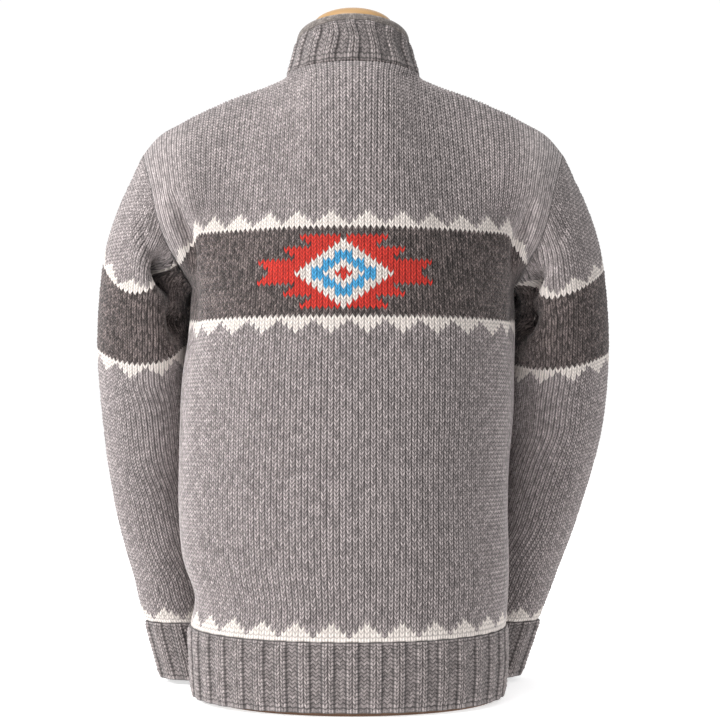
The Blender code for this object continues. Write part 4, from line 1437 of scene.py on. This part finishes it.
# %% [markdown]
# The knit map tells the shader which stitch it is in, so the colour chart is a matter of counting:
# zigzags of a six-stitch repeat above and below a dark band, one more along the hem and, on the back
# only, a stepped diamond with wings. Row 0 lies just under the upper zigzag. Half numbers stand
# between two stitches or rows. The chart is kept in a node group of its own.

# %% Colour chart
GREY = (0.384, 0.336, 0.331, 1)
DARK = (0.142, 0.114, 0.108, 1)
WHITE = (0.83, 0.755, 0.705, 1)
RED = (0.63, 0.038, 0.025, 1)
BLUE = (0.065, 0.36, 0.66, 1)
ZIGZAG_REPEAT, ZIGZAG_PEAK, ZIGZAG_RISE = 6, 4, 3
BAND_FOOT, BAND_TOP = -18.5, 3.5
DIAMOND_ROW, WING_ROW = -8, -7.5
DIAMOND, EYE, PUPIL = 8.5, 3.5, 1.5
BLUE_STEPS = ((1.5, 5.5), (3.5, 3.5), (5.5, 1.5))
WING_LENGTH, WING_STEP, WING_ROWS, WING_HALF = 13.5, -6, 3, 8.6
PLAIN_EVENNESS = 0.78


def colour_chart():
    """The stranded colours, from the stitch and row of the knit map."""
    outputs = ("Colour", "Color"), ("Heather", "Float")
    tree, end, across, up = new_group("colour chart", outputs)
    column, row = calc("FLOOR", across), calc("FLOOR", up)
    in_repeat = (column + (ZIGZAG_RISE - ZIGZAG_PEAK)) % ZIGZAG_REPEAT
    tooth = (ZIGZAG_RISE + 1) - abs(in_repeat - ZIGZAG_RISE)
    upper = (row > BAND_TOP) * (row < tooth + BAND_TOP)
    lower = (row < BAND_FOOT) * (row > BAND_FOOT - tooth)
    hem = row < tooth + (FIRST_ROW - 0.5)
    band = (row > BAND_FOOT) * (row < BAND_TOP)
    beside, from_middle = abs(column), abs(row - DIAMOND_ROW)
    ring = beside + from_middle
    masks = [(beside < wide) * (from_middle < tall) for wide, tall in BLUE_STEPS]
    blue = masks[0] | masks[1] | masks[2]
    level = abs(row - WING_ROW)
    counted = level - 0.5
    terrace = calc("FLOOR", counted / WING_ROWS)
    reach = terrace * WING_STEP + WING_LENGTH + terrace * terrace + counted % WING_ROWS
    tip = (beside < 0.5) * (row > 0.5)
    wing = (beside < reach) * (level < WING_HALF) * (1 - tip)
    pale = upper | lower | hem | (ring < DIAMOND)
    colour = blend(band, GREY, DARK)
    layers = (wing, RED), (pale, WHITE), (blue, BLUE), (ring < EYE, WHITE), (ring < PUPIL, RED)
    for mask, tint in layers:
        colour = blend(mask, colour, tint)
    heather = (1 - (pale | wing | blue) * PLAIN_EVENNESS) * (band + 1)
    fill(end, {"Colour": colour, "Heather": heather})
    return tree


chart = colour_chart()
print("chart nodes:", len(chart.nodes))

# %% [markdown]
# Wool yarn is never one colour. Heathered yarn mixes light and dark fibres, and each leg of a stitch
# catches them differently. The yarn group gives that variation, and the height of the plies and
# fibres for a bump finer than the mesh. It also gives masks of painted shade, where yarn would shade
# itself: in the gaps between wales, inside the Vs and between rows, and at the ribs' sides and
# troughs. The painted shade between rows fades out near the side seams, where the rows turn away.

# %% Yarn
FIBRE_NOISE = (0.85, 5.0, 0.72, 0.6)
CLOUD_NOISE = (0.045, 3.0, 0.6)
LEG_ROUNDNESS = 0.6
PLY_TURNS = (2.2, 1.6)
PLY_RELIEF, FIBRE_RELIEF = 0.10, 0.55
LEVEL_FROM, LEVEL_TO, LEVELLING = 30, 39, 0.9
# Painted shade in the gaps between wales, inside the Vs and between rows: where each starts and ends, and
# how dark it gets.
WALE_GAP_SHADE = (0.58, 1.0, 0.86)
MIDDLE_GAP_SHADE = (0.32, 0.0, 0.64)
ROW_GAP_SHADE = (0.36, 1.0, 0.80)
# Painted shade in the purl troughs and in a dark line along each side of a rib.
TROUGH_FROM, TROUGH_TO, TROUGH_SHADE = 0.22, 0.29, 0.34
BORDER_AT, BORDER_HALF, BORDER_SHADE = 0.275, 0.060, 0.72


def gap(place, start, end, depth):
    """How much painted shade a gap in the cloth gets at a place."""
    return fade_in(place, start, end) * depth


def yarn_surface():
    kinds = "Leg", "Fibre", "Cloud", "Height", "Gap Shade", "Rib Shade"
    tree, end, across, up = new_group("yarn surface", [(kind, "Float") for kind in kinds])
    leg_place = vector(calc("FLOOR", across * 2), calc("FLOOR", up))
    leg = add(tree, "ShaderNodeTexWhiteNoise", {"Vector": leg_place}, noise_dimensions="2D")
    true_place = vector(across * (STITCH_WIDTH * 1000), up * (ROW_HEIGHT * 1000))
    fibre, cloud = noise(true_place, *FIBRE_NOISE), noise(true_place, *CLOUD_NOISE)
    out = abs(calc("FRACT", across) - 0.5) * 2
    along = calc("FRACT", up)
    from_seam = (across + (PANEL_WALES / 2 - MOTIF_SHIFT)) % PANEL_WALES
    from_middle = abs(from_seam - PANEL_WALES / 2)
    level = 1 - fade_in(from_middle, LEVEL_FROM, LEVEL_TO) * LEVELLING
    leg_round = calc("SINE", out * np.pi) ** LEG_ROUNDNESS
    row_round = calc("SINE", along * np.pi) ** LEG_ROUNDNESS
    row_round = (row_round - 1) * level + 1
    ply = calc("SINE", (out * PLY_TURNS[0] + along * PLY_TURNS[1]) * (2 * np.pi))
    height = leg_round * row_round + ply * PLY_RELIEF + fibre * FIBRE_RELIEF
    # Painted shade in the gaps between wales, inside the Vs and between rows.
    row_gap_shading = gap(abs(along - 0.5) * 2, *ROW_GAP_SHADE)
    free_of_gap_shade = (1 - gap(out, *WALE_GAP_SHADE)) * (1 - gap(out, *MIDDLE_GAP_SHADE)) * (1 - row_gap_shading * level)
    groove_shade = 1 - free_of_gap_shade
    # Painted shade for ribs: the troughs darker, and a dark line along each rib's sides.
    from_rib = abs(calc("FRACT", across / 4) - 0.5)
    trough = fade_in(from_rib, TROUGH_FROM, TROUGH_TO)
    rib_border_shade = gap(abs(from_rib - BORDER_AT), BORDER_HALF, 0.0, BORDER_SHADE)
    rib_unshaded = 1 - (row_gap_shading * trough + groove_shade * (1 - trough))
    rib_groove_shade = 1 - rib_unshaded * (1 - rib_border_shade) * (1 - trough * TROUGH_SHADE)
    fill(end, dict(zip(kinds, (leg, fibre, cloud, height, groove_shade, rib_groove_shade))))
    return tree


yarn = yarn_surface()
print("yarn nodes:", len(yarn.nodes))

# %% [markdown]
# A wool finish scales its yarn's colour by that variation and paints shade into the gaps and
# grooves. The colour comes from the chart, or is that of one yarn. Sheen gives the pale halo of short
# fibres.

# %% Wool
SPREAD = {"Leg": 0.64, "Fibre": 3.9, "Cloud": 0.16}
DARKEST_FIBRE, DARKEST = 0.25, 0.3
# How dark the painted shade in the gaps gets, more in heathered yarn.
GROOVE_SHADE, HEATHERED_GROOVE_SHADE = 0.45, 0.44
WOOL_ROUGHNESS, ROUGHNESS_SPREAD = 0.78, 0.2
YARN_DEPTH = 0.0007


def wool(material, tint, relief, groove_shade="Gap Shade", strength=1.0):
    """A heathered wool finish with painted shade in its gaps, scaled by strength. Without a tint its
    colour comes from the chart.
    """
    tree, shader = open_material(material)
    surface = group_values(tree, yarn)
    if tint is None:
        charted = group_values(tree, chart)
        colour, heather = charted["Colour"], charted["Heather"]
    else:
        colour = add(tree, "ShaderNodeRGB", {})
        colour.socket.default_value = tint
        heather = add(tree, "ShaderNodeValue", {})
        heather.socket.default_value = 1.0
    leg, fibre, cloud = [(surface[kind] - 0.5) * spread + 1 for kind, spread in SPREAD.items()]
    shade = leg * fibre * cloud | DARKEST_FIBRE
    amount = (shade - 1) * heather + 1 | DARKEST
    # Painted shade: the gaps and grooves are darkened.
    depth = calc("MINIMUM", heather, 1.0) * (HEATHERED_GROOVE_SHADE * strength) + GROOVE_SHADE * strength
    amount = amount * (1 - surface[groove_shade] * depth)
    scale = {0: colour, "Scale": amount}
    fill(shader, {
        "Base Color": add(tree, "ShaderNodeVectorMath", scale, operation="SCALE"),
        "Roughness": surface["Fibre"] * ROUGHNESS_SPREAD + WOOL_ROUGHNESS,
        "Sheen Weight": 0.22,
        "Sheen Roughness": 0.55,
        "Specular IOR Level": 0.18,
        "Normal": bump(surface["Height"], relief, YARN_DEPTH),
    })


wool(knit, None, 0.7)
wool(rib, (0.352, 0.308, 0.301, 1), 0.6, groove_shade="Rib Shade")
wool(tape, (0.208, 0.182, 0.167, 1), 0.4, strength=0.35)
print("wool finishes:", knit.name, rib.name, tape.name)

# %% [markdown]
# The form's cover is a plain pale weave, its cap varnished light wood and its base a darker stained
# board. The grain is noise stretched along the board, read from object coordinates.

# %% Cover and wood
THREADS = 260.0
THREAD_DEPTH, PORE_DEPTH = 0.0003, 0.0004
GRAIN_STRETCH = (6.0, 60.0, 40.0)
PORE_SHARE, GRAIN_SHARE, GRAIN_ROUGHNESS = 0.35, 0.8, 0.12


def weave(material):
    tree, shader = open_material(material)
    place = object_place(tree)
    waves = [
        add(tree, "ShaderNodeTexWave", {"Vector": place, "Scale": THREADS}, "Fac", bands_direction=way)
        for way in "ZX"
    ]
    slub = noise(place, 90.0, 4.0)
    fill(shader, {
        "Base Color": blend(slub, (0.70, 0.66, 0.60, 1), (0.84, 0.80, 0.74, 1)),
        "Normal": bump(waves[0] * waves[1], 0.4, THREAD_DEPTH),
        "Roughness": 0.9,
        "Sheen Weight": 0.15,
    })


def wood(material, light, dark, roughness, coat):
    tree, shader = open_material(material)
    mapping = {"Vector": object_place(tree), "Scale": GRAIN_STRETCH}
    stretched = add(tree, "ShaderNodeMapping", mapping)
    grain = noise(stretched, 2.2, 6.0, 0.62, 1.2)
    pores = noise(stretched, 14.0, 3.0)
    fill(shader, {
        "Base Color": blend(pores * PORE_SHARE + grain * GRAIN_SHARE, dark, light),
        "Normal": bump(pores, 0.15, PORE_DEPTH),
        "Roughness": grain * GRAIN_ROUGHNESS + roughness,
        "Coat Weight": coat,
        "Coat Roughness": 0.2,
    })


weave(cover)
wood(cap_wood, (0.53, 0.315, 0.125, 1), (0.36, 0.195, 0.066, 1), 0.35, 0.4)
wood(base_wood, (0.20, 0.10, 0.05, 1), (0.08, 0.035, 0.018, 1), 0.5, 0.1)
print("cover and wood finishes:", cover.name, cap_wood.name, base_wood.name)

# %% [markdown]
# Each finished piece takes the place of its solid and moves with it. The list also gives the cut of
# each piece of cloth: the panels' greatest width and length, and the area that is left once the
# armholes, shoulders and neckline are cut away.

# %% Place the pieces
CLOTH = (
    (back, "back", "grey_knit", (0.50, 0.66), 0.288),
    (front, "front", "grey_knit", (0.50, 0.64), 0.272),
    (sleeve_left, "sleeve_left", "grey_knit", (0.37, 0.56), 0.145),
    (sleeve_right, "sleeve_right", "grey_knit", (0.37, 0.56), 0.145),
    (hem_back, "hem_rib_back", "grey_rib", (0.60, 0.075), None),
    (hem_front, "hem_rib_front", "grey_rib", (0.58, 0.075), None),
    (cuff_left, "cuff_left", "grey_rib", (0.28, 0.065), None),
    (cuff_right, "cuff_right", "grey_rib", (0.28, 0.066), None),
    (collar, "collar", "grey_rib", (0.46, 0.045), None),
    (facing, "collar_facing", "facing_knit", (0.38, 0.012), None),
)
for piece, node, slot, flat, area in CLOTH:
    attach(piece, "root")
    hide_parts(node)
for piece, node, slot in (
    (form, "dress_form", "form_cover"),
    (cap, "form_cap", "cap_wood"),
    (base, "form_base", "base_wood"),
):
    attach(piece, "root")
    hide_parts(node)
print("pieces:", len(CLOTH) + 3, "with", sum(made.values()), "triangles in cloth and form")

# %% [markdown]
# The photograph is a plain studio shot: the form stands on a white surface before white, lit softly
# from the upper left and seen from behind at the height of the wearer's ribs. The floor glows faintly
# under and beyond the form, like a light table, and the room is a little brighter on the left.

# %% Floor and room
ROOM_LIGHT = 0.485
LEFT_SHARE = 0.22
BACKDROP_LIGHT = 1.02
BACKDROP_FROM, BACKDROP_FULL = -0.70, -0.90
GLOW_FROM, GLOW_FULL, FLOOR_GLOW = 1.50, 0.15, 0.64
bpy.ops.object.select_all(action="DESELECT")
bpy.ops.mesh.primitive_plane_add(size=30, location=(0, 0, 0))
floor = bpy.context.object
floor.name = "floor"
paper = new_material("floor_paper")
paper_tree, paper_shader = open_material(paper)
paper_place = object_place(paper_tree)
speck = noise(paper_place, 40.0, 3.0)
glow = fade_in(coordinate(paper_place, 1), GLOW_FROM, GLOW_FULL)
fill(paper_shader, {
    "Base Color": blend(speck, (0.94, 0.94, 0.95, 1), (0.97, 0.97, 0.98, 1)),
    "Roughness": 0.9,
    "Emission Color": (1, 1, 1, 1),
    "Emission Strength": glow * FLOOR_GLOW,
})
floor.data.materials.append(paper)
world = bpy.data.worlds.new("studio")
bpy.context.scene.world = world
world.use_nodes = True
sky = world.node_tree
direction = add(sky, "ShaderNodeTexCoord", {}, output="Generated")
backdrop = fade_in(coordinate(direction, 1), BACKDROP_FROM, BACKDROP_FULL)
room = coordinate(direction, 0) * (ROOM_LIGHT * LEFT_SHARE) + ROOM_LIGHT
brightness = add(sky, "ShaderNodeMix", {0: backdrop, 2: room, 3: BACKDROP_LIGHT})
fill(sky.nodes["Background"], {"Color": (1, 1, 1, 1), "Strength": brightness})
print("room light:", ROOM_LIGHT, "and behind the form", BACKDROP_LIGHT)

# %% Lights and camera
CAMERA_AT = (-0.0076, 1.8, 0.285)
CAMERA_LIFT = 2.4
FOCAL_PIXELS, PICTURE_PIXELS = 1666.7, 720
SENSOR = 36
AIM = (0, 0, 0.36)


def soft_light(name, at, size, power):
    data = bpy.data.lights.new(name, "AREA")
    data.shape = "DISK"
    data.size = size
    data.energy = power
    lamp = bpy.data.objects.new(name, data)
    bpy.context.scene.collection.objects.link(lamp)
    lamp.location = at
    lamp.rotation_mode = "QUATERNION"
    lamp.rotation_quaternion = (Vector(AIM) - Vector(at)).to_track_quat("-Z", "Y")


soft_light("key", (1.75, 1.55, 1.35), 0.7, 44)
soft_light("top", (0.4, 0.6, 2.3), 1.2, 24)
camera_data = bpy.data.cameras.new("camera")
camera = bpy.data.objects.new("camera", camera_data)
bpy.context.scene.collection.objects.link(camera)
camera_data.sensor_width = SENSOR
camera_data.lens = SENSOR * FOCAL_PIXELS / PICTURE_PIXELS
camera.location = CAMERA_AT
camera.rotation_euler = (np.radians(90 + CAMERA_LIFT), 0, np.radians(180))
bpy.context.scene.camera = camera
bpy.context.scene.view_settings.view_transform = "Standard"
print("camera lens:", round(camera_data.lens, 1), "mm")
